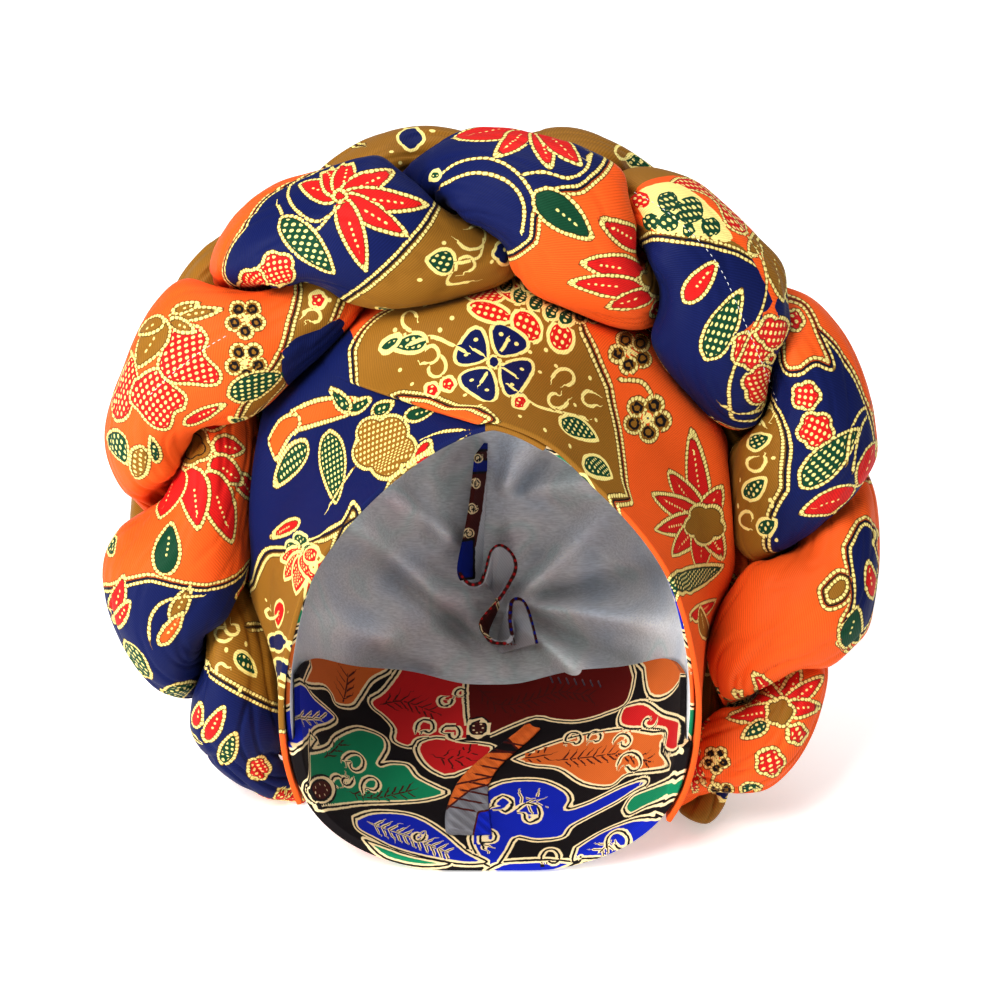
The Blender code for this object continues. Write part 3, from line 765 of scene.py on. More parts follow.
def axis_distance(points):
    """Distance of points from the cap's axis."""
    return np.hypot(points[..., 0] - MIDDLE_X, points[..., 2] - axis_height(points[..., 1] - edge_y))


def cap_piece(name, levels, rim=0.0006, rim_angle=50):
    """A copy of a CAD piece with its rims rounded and its facets smoothed, as a mesh's points and quads."""
    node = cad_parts[name]
    mesh = node.data.copy()
    work = bmesh.new()
    work.from_mesh(mesh)
    bmesh.ops.remove_doubles(work, verts=work.verts, dist=2e-5)
    bmesh.ops.join_triangles(work, faces=work.faces, angle_face_threshold=0.7,
                             angle_shape_threshold=3.0)
    weight = work.edges.layers.float.new("bevel_weight_edge")
    for edge in work.edges:
        if len(edge.link_faces) == 2 and math.degrees(edge.calc_face_angle(0.0)) > rim_angle:
            edge[weight] = 1.0
    work.to_mesh(mesh)
    work.free()
    piece = bpy.data.objects.new(f"{name}_cloth", mesh)
    bpy.context.scene.collection.objects.link(piece)
    if rim > 0.0:
        bevel = piece.modifiers.new("rim", "BEVEL")
        bevel.limit_method = "WEIGHT"
        bevel.width = rim
        bevel.segments = 2
    fine = piece.modifiers.new("smooth", "SUBSURF")
    fine.levels = levels
    fine.render_levels = levels
    shown = piece.evaluated_get(bpy.context.evaluated_depsgraph_get())
    smoothed = bpy.data.meshes.new_from_object(shown)
    piece.modifiers.clear()
    piece.data = smoothed
    bpy.data.meshes.remove(mesh)
    return piece


def mesh_points(mesh):
    """Points of a mesh."""
    points = np.zeros(len(mesh.vertices) * 3)
    mesh.vertices.foreach_get("co", points)
    return points.reshape(-1, 3)


def move_points(piece, points):
    """Puts a piece's points at new places."""
    piece.data.vertices.foreach_set("co", points.ravel())
    piece.data.update()


def mesh_arrays(mesh):
    """Points and quads of a mesh."""
    corners = np.zeros(len(mesh.loops), dtype=int)
    mesh.loops.foreach_get("vertex_index", corners)
    return mesh_points(mesh), corners.reshape(-1, 4)


def cap_cloth(piece, cut):
    """The cloth of one of the cap's pieces: s is the turn about the axis, w the depth."""
    points, quads = mesh_arrays(piece.data)

    lip = points[points[:, 1] - edge_y < LIP_DEPTH]
    lip_angle = turn_about_axis(lip, cut)
    lip_radius = axis_distance(lip)
    grid = np.arange(cut, cut + 361.0, 3.0)
    widest = np.array([lip_radius[np.abs(lip_angle - a) < 3.0].max(initial=0.0) for a in grid])

    def across(places, angle):
        """Depth behind the edge, measured on round a rolled edge."""
        depth = places[..., 1] - edge_y
        inside = np.clip(np.interp(angle, grid, widest) - axis_distance(places), 0.0, LIP_INSIDE)
        at_lip = 1.0 - smooth(LIP_DEPTH, 2.0 * LIP_DEPTH, depth)
        return depth + inside * at_lip + LIP_INSIDE * (1.0 - at_lip)

    def locate(place, index):
        angle = turn_about_axis(place, cut)
        return (math.radians(float(angle)) * CLOTH_RADIUS, float(across(place, angle)))

    corners = points[quads]
    angle = turn_about_axis(corners, cut)
    middle = angle[:, :1]
    angle = np.where(angle - middle > 180.0, angle - 360.0, angle)
    angle = np.where(middle - angle > 180.0, angle + 360.0, angle)
    radius = axis_distance(corners).mean(axis=1)
    return Cloth(points, quads, np.radians(angle) * CLOTH_RADIUS, across(corners, angle), None,
                 np.clip(radius / CLOTH_RADIUS, 0.4, 2.0), locate)


def to_pixels(points):
    """Places of points in the picture, in pixels."""
    offset = points - np.array(EYE)
    depth = -offset @ np.array(BACKWARD)
    across = offset @ np.array(EYE_RIGHT) / depth
    up = offset @ np.array(EYE_UP) / depth
    return np.stack([MIDDLE_PIXEL[0] + PIXELS_PER_METRE * across,
                     MIDDLE_PIXEL[1] - PIXELS_PER_METRE * up], axis=-1)


def small_cloth(piece):
    """The cloth of a small crumpled piece, laid out as the camera sees it."""
    points, quads = mesh_arrays(piece.data)

    def locate(place, index):
        return tuple(to_pixels(place) / PIXELS_PER_METRE)

    flat = to_pixels(points[quads]) / PIXELS_PER_METRE
    return Cloth(points, quads, flat[..., 0], flat[..., 1], None, np.ones(len(quads)), locate)


# How the bands' rear part spreads until it meets the plait
SPREAD_FROM = 0.034
SPREAD_FULL = 0.055
SPREAD_MOST = 0.008
SPREAD_CLEAR = 0.0004
SPREAD_SHARE = 0.85         # of the room up to the strand
SPREAD_OPEN = 0.006         # where no strand is met
TURN_STEP = 3.0
DEPTH_STEP = 0.003


def spread_to_plait(piece):
    """Pushes the rear part of a band out to the strands round it."""
    points, quads = mesh_arrays(piece.data)
    band = BVHTree.FromPolygons(points.tolist(), quads.tolist())
    turns = np.arange(-90.0, 273.0, TURN_STEP)
    depths = np.arange(0.030, 0.085, DEPTH_STEP)
    push = np.zeros((len(turns), len(depths)))
    for a, turn in enumerate(turns):
        out = Vector((math.cos(math.radians(turn)), 0.0, math.sin(math.radians(turn))))
        for b, depth in enumerate(depths):
            middle = Vector((MIDDLE_X, edge_y + depth, float(axis_height(depth))))
            skin = band.ray_cast(middle + out * 0.15, -out, 0.12)[0]
            if skin is None:
                continue
            gaps = [strand.tree.ray_cast(skin + out * 0.0002, out, 0.03)[3] for strand, _ in strands]
            gaps = [gap for gap in gaps if gap is not None]
            room = min(gaps) if gaps else SPREAD_OPEN
            push[a, b] = np.clip(SPREAD_SHARE * room - SPREAD_CLEAR, 0.0, SPREAD_MOST)
    for _ in range(3):
        push = 0.25 * np.roll(push, 1, axis=0) + 0.5 * push + 0.25 * np.roll(push, -1, axis=0)
        push[:, 1:-1] = 0.25 * push[:, :-2] + 0.5 * push[:, 1:-1] + 0.25 * push[:, 2:]
    depth = points[:, 1] - edge_y
    turn = turn_about_axis(points, -90.0)
    at_a = np.clip((turn + 90.0) / TURN_STEP, 0, len(turns) - 1.001)
    at_b = np.clip((depth - depths[0]) / DEPTH_STEP, 0, len(depths) - 1.001)
    a, b = at_a.astype(int), at_b.astype(int)
    part_a, part_b = at_a - a, at_b - b
    value = ((push[a, b] * (1 - part_a) + push[a + 1, b] * part_a) * (1 - part_b)
             + (push[a, b + 1] * (1 - part_a) + push[a + 1, b + 1] * part_a) * part_b)
    value *= smooth(SPREAD_FROM, SPREAD_FULL, depth)
    radial = np.column_stack([points[:, 0] - MIDDLE_X, np.zeros(len(points)),
                              points[:, 2] - axis_height(depth)])
    radial /= np.linalg.norm(radial, axis=1, keepdims=True)
    move_points(piece, points + radial * value[:, None])


# Folds of the crown's lining as the picture shows them: from, to, height, half width at each end (pixels)
LINING_FOLDS = (
    ((462, 545), (386, 490), 0.0080, 7, 12),
    ((436, 548), (402, 474), -0.0060, 9, 14),
    ((440, 600), (335, 505), 0.0080, 10, 16),
    ((480, 650), (370, 550), -0.0075, 8, 13),
    ((400, 640), (306, 612), 0.0060, 13, 19),
    ((513, 494), (551, 452), -0.0045, 6, 9),
    ((503, 492), (526, 436), 0.0060, 8, 14),
    ((530, 492), (595, 476), 0.0050, 9, 16),
    ((516, 600), (610, 508), 0.0075, 8, 14),
    ((518, 604), (676, 566), -0.0065, 8, 17),
    ((513, 601), (688, 628), 0.0085, 7, 16),
    ((525, 618), (650, 678), -0.0070, 8, 17),
    ((520, 622), (580, 674), 0.0060, 7, 12),
    ((440, 678), (350, 658), -0.0045, 10, 15),
)
FOLD_NODES = ((505, 496), (513, 602), (470, 590))
FAN_HEIGHT = 0.0018
OUTER_EASE = 0.0014         # how far the outer side stands clear of the folds
# Painted shade of the lining's folds: the span of push over which it goes from darkest in the valleys to
# lightest on the ridges.
PAINTED_SHADE_SPAN = 0.014         # push over which the cloth goes from its darkest to its lightest
FAN_DEPTH = 0.070           # the lining is creased only behind this depth


def lining_push(points):
    """How far the lining stands out at each point."""
    places = to_pixels(points)
    push = np.zeros(len(points))
    for start, end, height, near, far in LINING_FOLDS:
        start, end = np.array(start, dtype=float), np.array(end, dtype=float)
        step = end - start
        share = (places - start) @ step / (step @ step)
        off = np.abs((places - start) @ np.array([-step[1], step[0]])) / math.hypot(*step)
        width = near + (far - near) * np.clip(share, 0.0, 1.0)
        along = smooth(-0.10, 0.18, share) * (1.0 - smooth(0.75, 1.15, share))
        push += height * np.exp(-(off / width) ** 2) * along
    for k, node in enumerate(FOLD_NODES):
        off = places - np.array(node)
        reach = np.hypot(off[:, 0], off[:, 1])
        angle = np.arctan2(off[:, 1], off[:, 0])
        ring = np.column_stack([2.6 * np.cos(angle), 2.6 * np.sin(angle), reach / 160.0])
        push += FAN_HEIGHT * cloth_noise(ring, 1.0, 4.0 + 9.0 * k) * smooth(5.0, 60.0, reach)
    return push * smooth(FAN_DEPTH, FAN_DEPTH + 0.025, points[:, 1] - edge_y)


def crease_lining(piece, slot_index, cuts):
    """Cuts the lining finer and lays its folds and creases."""
    work = bmesh.new()
    work.from_mesh(piece.data)
    faces = [f for f in work.faces
             if f.material_index == slot_index and f.calc_center_median().y - edge_y > FAN_DEPTH]
    outer = {v for f in work.faces if f.material_index != slot_index for v in f.verts}
    for vertex in outer:
        deep = float(smooth(FAN_DEPTH, FAN_DEPTH + 0.03, vertex.co.y - edge_y))
        vertex.co += vertex.normal * OUTER_EASE * deep
    edges = list({edge for face in faces for edge in face.edges})
    made = bmesh.ops.subdivide_edges(work, edges=edges, cuts=cuts, use_grid_fill=True)
    fresh = [v for v in made["geom_inner"] if isinstance(v, bmesh.types.BMVert)]
    for _ in range(3):
        bmesh.ops.smooth_vert(work, verts=fresh, factor=0.5, use_axis_x=True, use_axis_y=True,
                              use_axis_z=True)
    work.to_mesh(piece.data)
    work.free()
    push_out(piece)


def push_out(piece):
    """Lays the lining's folds in a piece and notes how far each point stands out, from which the lining's
    material paints shade in the fold valleys and light on the ridges.
    """
    points = mesh_points(piece.data)
    push = lining_push(points)
    # Painted shade and light: the lining's material darkens the fold valleys and lightens the ridges by this
    # share.
    painted_shade_share = piece.data.attributes.new("painted_shade_share", "FLOAT", "POINT")
    painted_shade_share.data.foreach_set("value", np.clip(0.5 + push / PAINTED_SHADE_SPAN, 0.0, 1.0).astype(np.float32))
    move_points(piece, points + push[:, None] * np.array(BACKWARD))


# ---------------------------------------------------------------- sewing thread

STITCH_SIDES = 6
STITCH_RINGS = 7
SEAM_STITCH = 3.4           # pixels
SEAM_THREAD = 0.00016       # radius
OVERLOCK_THREAD = 0.00032
OVERLOCK_SLOPE = 0.09       # of its row in the picture
# The rows of white stitches along the plait, in pixels, and how far apart their stitches start
SEAMS = ((((226, 336), (200, 352), (172, 374), (148, 397)), 6.2),
         (((634, 192), (672, 216), (716, 262), (748, 330), (778, 403)), 6.6))


def build_stitches(name, surfaces, pairs, radius, material):
    """Short stitches between pairs of pixels, each arched over the cloth with its ends in it."""
    points, faces = [], []
    for start, end in pairs:
        line = []
        for t in np.linspace(0.0, 1.0, STITCH_RINGS):
            pixel = (start[0] + (end[0] - start[0]) * t, start[1] + (end[1] - start[1]) * t)
            hits = [cloth.tree.ray_cast(EYE, pixel_ray(pixel)) for cloth in surfaces]
            hits = [hit for hit in hits if hit[0] is not None]
            if not hits:
                break
            place, normal, _, _ = min(hits, key=lambda hit: hit[3])
            lift = radius * (2.2 * math.sin(math.pi * t) - 0.9)
            line.append((place + normal * lift, normal))
        if len(line) < STITCH_RINGS:
            continue
        base = len(points)
        along = (line[-1][0] - line[0][0]).normalized()
        for place, normal in line:
            aside = along.cross(normal).normalized()
            up = aside.cross(along)
            for k in range(STITCH_SIDES):
                turn = 2.0 * math.pi * k / STITCH_SIDES
                points.append(place + (aside * math.cos(turn) + up * math.sin(turn)) * radius)
        for r in range(STITCH_RINGS - 1):
            for k in range(STITCH_SIDES):
                right = (k + 1) % STITCH_SIDES
                faces.append((base + r * STITCH_SIDES + k, base + r * STITCH_SIDES + right,
                              base + (r + 1) * STITCH_SIDES + right, base + (r + 1) * STITCH_SIDES + k))
        faces.append(tuple(base + k for k in reversed(range(STITCH_SIDES))))
        last = base + (STITCH_RINGS - 1) * STITCH_SIDES
        faces.append(tuple(last + k for k in range(STITCH_SIDES)))
    mesh = bpy.data.meshes.new(name)
    mesh.from_pydata([tuple(p) for p in points], [], faces)
    work = bmesh.new()
    work.from_mesh(mesh)
    bmesh.ops.recalc_face_normals(work, faces=work.faces)
    work.to_mesh(mesh)
    work.free()
    mesh.shade_smooth()
    mesh.materials.append(material)
    piece = bpy.data.objects.new(name, mesh)
    bpy.context.scene.collection.objects.link(piece)
    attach(piece, "root")
    return piece


def dashes(pixels, length, pitch):
    """Pairs of pixels for a row of stitches along a line."""
    line = np.array(curve(pixels, 12))
    run = np.concatenate([[0.0], np.cumsum(np.hypot(*np.diff(line, axis=0).T))])
    pairs = []
    for at in np.arange(0.0, run[-1] - length, pitch):
        pairs.append([tuple(np.array([np.interp(x, run, line[:, 0]), np.interp(x, run, line[:, 1])]))
                      for x in (at, at + length)])
    return pairs


# ---------------------------------------------------------------- grounds of the print


def strand_ground(cloth, borders, colours):
    """Ground of a strand: a colour between each two borders that cross it."""
    places = []
    for border in borders:
        if isinstance(border, float):
            s = border * cloth.run[-1]
            places.append((np.array([-0.08, 0.08]), np.array([s - 0.014, s + 0.014])))
        else:
            found = [cloth.hit(p) for p in border]
            found = np.array([f for f in found if f is not None])
            order = np.argsort(found[:, 1])
            w, s = found[order, 1], found[order, 0]
            lean = (s[-1] - s[0]) / max(w[-1] - w[0], 0.004)
            lean = float(np.clip(lean, -1.2, 1.2))
            reach = 0.03
            w = np.concatenate([[w[0] - 0.09, w[0] - reach], w, [w[-1] + reach, w[-1] + 0.09]])
            s = np.concatenate([[s[0] - lean * reach] * 2, s, [s[-1] + lean * reach] * 2])
            places.append((w, s))
        w, s = places[-1]
        fine = np.linspace(-0.085, 0.085, 80)
        cloth.add(np.column_stack([np.interp(fine, w, s), fine]), False, None, "border")
    tints = np.array(colours)

    def ground(s, w):
        index = np.zeros(len(s), dtype=int)
        for line_w, line_s in places:
            index += s > np.interp(w, line_w, line_s)
        return tints[np.clip(index, 0, len(tints) - 1)].copy()

    return ground


def plain_ground(colour):
    """Ground of one colour."""
    def ground(s, w):
        return np.tile(np.array(colour, dtype=float), (len(s), 1))
    return ground


HIDDEN_STEP = 0.036
HIDDEN_ROWS = (-0.066, -0.040, 0.040)
HIDDEN_CLEAR = 0.021        # from the motifs that the picture shows


def hidden_motifs(cloth, ground, seed):
    """Flowers, leaves and scrolls of the same kinds where the picture shows nothing of the cloth."""
    taken = [motif[0].mean(axis=0) for motif in cloth.motifs if motif[1]]
    taken = np.array(taken) if taken else np.zeros((0, 2))
    low_s, high_s = cloth.s.min(), cloth.s.max()
    random = np.random.default_rng(seed)
    count = 0
    for s in np.arange(low_s + 0.4 * HIDDEN_STEP, high_s, HIDDEN_STEP):
        for w in HIDDEN_ROWS:
            place = np.array([s + random.uniform(-0.2, 0.2) * HIDDEN_STEP, w])
            if len(taken) and np.hypot(*(taken - place).T).min() < HIDDEN_CLEAR:
                continue
            colour = ground(place[:1], place[1:])[0]
            count += 1
            turn = random.uniform(0.0, 6.28)
            draw_hidden(cloth, place, colour, count, turn)


def draw_hidden(cloth, place, colour, count, turn):
    """One flower with leaves, right for its ground."""
    unit = 0.001

    def shape(points):
        return [(place[0] + x * unit, place[1] + y * unit) for x, y in points]

    on_ochre = abs(colour[0] - OCHRE[0]) < 0.01
    on_navy = abs(colour[0] - NAVY[0]) < 0.01
    style = "solid" if on_ochre else "beads"
    if count % 3 == 0:
        tips = [turned([(12.0, 0.0)], (0, 0), turn + k * 1.05)[0] for k in range(6)]
        for tip in tips:
            cloth.add(shape(petal_shape((0, 0), tip, 6.4)), True, RED, style)
            cloth.add(shape(between((0, 0), tip, 0.38, 0.74)), False, None, "row")
        cloth.add(shape(lobed_shape((0, 0), 2.6, 5, 0.15)), True, GREEN if on_ochre else OCHRE, style)
    elif count % 3 == 1:
        cloth.add(shape(lobed_shape((0, 0), 8.0, 5, 0.38, turn)), True,
                  NAVY if on_ochre else (OCHRE if not on_navy else RED), style, DOTTED if on_navy else PLAIN)
        cloth.add(shape(lobed_shape((0, 0), 2.0, 3, 0.0)), True, CREAM if on_ochre else NAVY, style)
    else:
        for k in (0.0, 2.2):
            tip = turned([(13.0, 0.0)], (0, 0), turn + k)[0]
            base = turned([(2.0, 0.0)], (0, 0), turn + k)[0]
            cloth.add(shape(petal_shape(base, tip, 6.2)), True, GREEN, style, DOTTED)
        cloth.add(shape(spiral((0, 0), 6.0, math.degrees(turn) + 180.0, 330.0)), False, None, style)


# ---------------------------------------------------------------- print of each piece


def print_strand_1(cloth):
    """The print of the strand that starts lowest at the left."""
    ground = strand_ground(
        cloth,
        [[(184, 661), (225, 683), (262, 702)], 0.28, [(234, 288), (240, 236), (268, 196), (312, 160)],
         [(463, 194), (415, 238), (372, 280)], 0.60, [(808, 322), (835, 345), (866, 404)],
         [(785, 493), (812, 535), (838, 572)]],
        [NAVY, OCHRE, ORANGE, NAVY, OCHRE, ORANGE, NAVY, OCHRE])
    # front turn at the lower left
    petal(cloth, (205, 742), (224, 706), 16)
    petal(cloth, (196, 728), (200, 702), 12)
    leaf(cloth, (222, 764), (236, 732), 17)
    blossom(cloth, (259, 768), 12)
    leaf(cloth, (190, 632), (214, 648), 15, "solid")
    leaf(cloth, (236, 652), (256, 676), 15, "solid")
    scroll(cloth, (222, 632), 8, 30, 300)
    scroll(cloth, (234, 628), 7, 200, -300)
    scroll(cloth, (222, 668), 6, 90, 280)
    dots(cloth, ((226, 650), (206, 664), (246, 644), (214, 620), (240, 690)))
    # top left
    flower(cloth, (340, 196), ((299, 184), (324, 164), (350, 158), (395, 170), (429, 205), (408, 235),
                               (366, 271)), 24, 7)
    stem(cloth, ((340, 206), (318, 222), (298, 212), (288, 196), (292, 182)), "beads")
    stem(cloth, ((336, 208), (312, 233), (288, 222), (278, 205)), "beads")
    leaf(cloth, (281, 217), (334, 274), 30)
    blossom(cloth, (277, 270), 19, turn=0.5)
    blossom(cloth, (253, 283), 15, turn=0.2)
    leaf(cloth, (456, 263), (426, 260), 26, "solid")
    scroll(cloth, (474, 234), 13, 150, -330)
    scroll(cloth, (468, 266), 9, 160, 330)
    stem(cloth, ((484, 240), (480, 256), (466, 262), (456, 263)))
    stem(cloth, ((452, 272), (448, 284), (470, 282)))
    blossom(cloth, (484, 205), 12, RED, "solid")
    blossom(cloth, (522, 234), 11, NAVY, "solid", filled=PLAIN)
    blossom(cloth, (505, 253), 12, NAVY, "solid", filled=PLAIN, turn=0.5)
    dots(cloth, ((452, 214), (444, 243), (492, 262), (428, 258), (494, 228), (420, 280), (505, 250)))
    # back turn between the top and the right
    leaf(cloth, (626, 158), (652, 166), 14, "solid")
    scroll(cloth, (622, 150), 8, 20, 300)
    # right
    patch(cloth, ((780, 296), (806, 306), (822, 340), (832, 366), (815, 361), (798, 371), (782, 362)), ORANGE,
          "border")
    blossom(cloth, (794, 320), 11)
    petal(cloth, (862, 488), (876, 440), 20)
    petal(cloth, (862, 490), (800, 514), 25)
    petal(cloth, (860, 496), (827, 553), 25)
    petal(cloth, (866, 490), (872, 540), 18)
    cloth.draw(lobed_shape((864, 490), 6, 5, 0.15), (860, 490), True, OCHRE, "beads")
    leaf(cloth, (801, 487), (860, 428), 31)
    blossom(cloth, (816, 430), 19, turn=0.4)
    blossom(cloth, (806, 396), 15)
    stem(cloth, ((854, 470), (858, 440), (866, 418), (876, 414), (878, 430)), "beads")
    stem(cloth, ((848, 462), (850, 436), (860, 412), (874, 404)), "beads")
    leaf(cloth, (744, 498), (766, 478), 19, "solid")
    leaf(cloth, (758, 532), (776, 520), 18, "solid")
    leaf(cloth, (748, 446), (772, 436), 17, "solid")
    scroll(cloth, (754, 462), 9, -20, 340)
    scroll(cloth, (748, 518), 8, 90, 330)
    scroll(cloth, (770, 414), 8, 120, 300)
    patch(cloth, ((772, 604), (784, 604), (800, 612), (790, 622), (776, 618)), NAVY, "solid")
    dots(cloth, ((770, 500), (774, 458), (740, 480), (764, 548), (760, 424), (772, 506), (738, 506),
                 (776, 540)))
    return ground


def print_strand_2(cloth):
    """The print of the strand with the long red flower at the top."""
    ground = strand_ground(
        cloth,
        [[(112, 588), (150, 577), (205, 588)], 0.28, 0.42,
         [(534, 240), (536, 214), (552, 192), (580, 190), (601, 172)], 0.66, 0.78],
        [NAVY, ORANGE, OCHRE, NAVY, ORANGE, OCHRE, ORANGE])
    # front turn at the left
    for base, tip, width in (((204, 428), (236, 404), 20), ((212, 444), (245, 450), 22),
                             ((238, 474), (256, 502), 17),
                             ((210, 458), (243, 484), 25), ((208, 470), (232, 543), 32), ((192, 466),
                                                                                          (198, 530), 30),
                             ((180, 464), (159, 519), 27)):
        petal(cloth, base, tip, width)
    cloth.draw(lobed_shape((193, 446), 20, 4, 0.25, 0.4), (193, 446), True, OCHRE, "beads")
    cloth.draw(lobed_shape((193, 446), 13, 4, 0.30, 0.4), (193, 446), True, OCHRE, "thin")
    row_leaf(cloth, (163, 576), (171, 522), 27)
    petal(cloth, (172, 622), (190, 585), 16, OCHRE)
    petal(cloth, (160, 645), (184, 612), 14, ORANGE)
    stem(cloth, ((150, 640), (152, 615), (168, 600), (200, 596)), "beads")
    petal(cloth, (112, 620), (124, 575), 16)
    petal(cloth, (114, 628), (130, 600), 13)
    leaf(cloth, (118, 642), (152, 678), 20)
    leaf(cloth, (160, 700), (196, 682), 17)
    blossom(cloth, (146, 700), 10)
    # top
    flower(cloth, (536, 122), ((452, 138), (494, 157), (551, 169), (582, 165), (500, 122), (590, 140)), 22, 5)
    stem(cloth, ((438, 177), (457, 163), (482, 158), (503, 163), (522, 178), (534, 200), (533, 222),
                 (530, 242)),
         "beads")
    stem(cloth, ((441, 186), (456, 178), (473, 173), (496, 176), (515, 188), (524, 207), (522, 232)), "beads")
    stem(cloth, ((524, 174), (545, 172), (568, 178), (586, 169), (592, 150)), "beads")
    row_leaf(cloth, (534, 192), (594, 238), 34)
    for base, tip, width in (((650, 250), (599, 218), 24), ((644, 272), (581, 262), 26),
                             ((646, 290), (568, 282), 22), ((655, 294), (606, 308), 18),
                             ((664, 262), (632, 212), 20), ((668, 300), (650, 316), 14)):
        petal(cloth, base, tip, width)
    blossom(cloth, (660, 278), 20, OCHRE, filled=PLAIN, turn=0.5)
    leaf(cloth, (440, 172), (430, 180), 10, "solid")
    # right
    patch(cloth, ((846, 548), (866, 520), (886, 560), (884, 630), (850, 650), (842, 628), (852, 600)), NAVY,
          "border")
    patch(cloth, ((822, 590), (838, 574), (850, 580), (846, 598), (828, 606)), OCHRE, "border")
    row_leaf(cloth, (846, 650), (858, 606), 22)
    petal(cloth, (874, 600), (868, 560), 13)
    end_flower(cloth)
    return ground


def end_flower(cloth):
    """The large flower that two strands share at the lower right."""
    for tip in ((776, 655), (800, 668), (752, 672), (732, 692), (727, 718), (824, 676), (822, 706)):
        petal(cloth, (782, 710), tip, 19)
    blossom(cloth, (780, 712), 15, OCHRE, filled=PLAIN)
    leaf(cloth, (768, 722), (742, 738), 15)


def print_strand_3(cloth):
    """The print of the strand with the cream blossom at the right."""
    ground = strand_ground(
        cloth,
        [[(299, 292), (291, 320), (283, 350)], [(345, 296), (333, 318), (322, 342)], 0.40,
         [(652, 236), (678, 239), (702, 242), (737, 251)], [(724, 424), (755, 412), (788, 436)]],
        [ORANGE, OCHRE, ORANGE, OCHRE, NAVY, ORANGE])
    # front turn at the left
    patch(cloth, ((112, 400), (116, 378), (130, 350), (138, 378), (134, 401), (126, 419), (114, 419)), RED,
          "beads",
          DOTTED)
    patch(cloth, ((134, 381), (158, 368), (172, 384), (186, 396), (184, 409), (175, 413), (169, 429),
                  (152, 426),
                  (139, 411), (130, 400)), RED, "beads", DOTTED)
    patch(cloth, ((161, 332), (180, 327), (197, 326), (207, 338), (204, 354), (220, 372), (216, 385),
                  (189, 384),
                  (170, 382), (158, 367), (163, 348)), RED, "beads", DOTTED)
    for base, tip, width in (((166, 319), (136, 368), 27), ((168, 318), (222, 309), 13),
                             ((168, 320), (196, 332), 13),
                             ((164, 318), (138, 334), 15), ((172, 312), (200, 303), 10)):
        petal(cloth, base, tip, width, OCHRE)
    small_flower(cloth, (245, 319), 19)
    small_flower(cloth, (246, 362), 20)
    leaf(cloth, (228, 396), (284, 373), 27)
    petal(cloth, (184, 424), (226, 404), 12)
    leaf(cloth, (112, 430), (127, 464), 19)
    patch(cloth, ((131, 450), (142, 446), (150, 456), (146, 474), (136, 478), (130, 466)), OCHRE, "beads",
          DOTTED)
    leaf(cloth, (158, 462), (151, 436), 11)
    patch(cloth, ((282, 352), (296, 338), (318, 330), (345, 322), (350, 390), (306, 400), (284, 378)), NAVY,
          "none")
    blossom(cloth, (318, 300), 9, RED, "solid")
    scroll(cloth, (314, 318), 8, -160, 300)
    dots(cloth, ((304, 312), (330, 300)))
    # back turn between the two top ones
    blossom(cloth, (411, 138), 13, NAVY, "solid", filled=PLAIN, lobes=4)
    leaf(cloth, (430, 176), (440, 150), 12)
    dots(cloth, ((392, 152), (432, 130), (400, 162), (440, 122)))
    # right of the top
    patch(cloth, ((624, 168), (690, 158), (752, 180), (800, 240), (790, 330), (768, 290), (742, 246),
                  (700, 236),
                  (654, 232), (628, 214)), ORANGE, "none")
    patch(cloth, ((664, 190), (684, 175), (716, 178), (742, 194), (748, 232), (728, 226), (716, 202),
                  (693, 190)), RED,
          "beads", DOTTED)
    patch(cloth, ((634, 196), (652, 186), (677, 184), (704, 202), (724, 224), (730, 240), (696, 236),
                  (660, 232),
                  (646, 219)), CREAM, "solid")
    for centre, radius, colour in (((641, 200), 9, RED), ((668, 202), 11, GREEN), ((690, 210), 14, GREEN),
                                   ((669, 222), 10, GREEN), ((711, 227), 10, GREEN), ((651, 222), 9, GREEN),
                                   ((689, 231), 7, GREEN)):
        cloth.draw(lobed_shape(centre, radius, 4, 0.1, 0.5), centre, True, colour, "none", DOTTED)
    for base, tip, width in (((765, 228), (718, 200), 31), ((768, 232), (750, 256), 22),
                             ((768, 232), (784, 300), 22),
                             ((766, 226), (792, 250), 18), ((762, 224), (756, 196), 16)):
        petal(cloth, base, tip, width, OCHRE)
    cloth.draw(lobed_shape((766, 228), 5, 3, 0.1), (764, 228), True, NAVY, "solid")
    petal(cloth, (684, 302), (717, 261), 22)
    leaf(cloth, (706, 360), (742, 289), 30)
    for centre, radius, turn in (((752, 350), 21, 0.2), ((774, 332), 18, 0.5), ((762, 386), 21, 0.9),
                                 ((784, 376), 17, 0.0)):
        blossom(cloth, centre, radius, turn=turn)
    cloth.draw(lobed_shape((771, 359), 5, 3, 0.1), (768, 358), True, RED, "beads")
    stem(cloth, ((722, 406), (738, 414), (756, 412), (774, 400), (788, 394)), "beads")
    stem(cloth, ((724, 416), (742, 422), (762, 418), (784, 406)), "beads")
    blossom(cloth, (770, 447), 14)
    # right end
    end_flower(cloth)
    blossom(cloth, (797, 734), 11)
    blossom(cloth, (770, 762), 15)
    small_flower(cloth, (716, 760), 13)
    small_flower(cloth, (721, 797), 15)
    leaf(cloth, (740, 790), (762, 786), 12)
    stem(cloth, ((716, 772), (712, 782), (718, 788)), "beads")
    return ground


def band_ground(cloth, base, zones):
    """Ground of a band: a base colour with bordered zones of other colours."""
    for pixels, middle, colour, style in zones:
        cloth.draw(curve([*pixels, pixels[0]], 8)[:-1], middle, True, colour, style)
    return plain_ground(base)


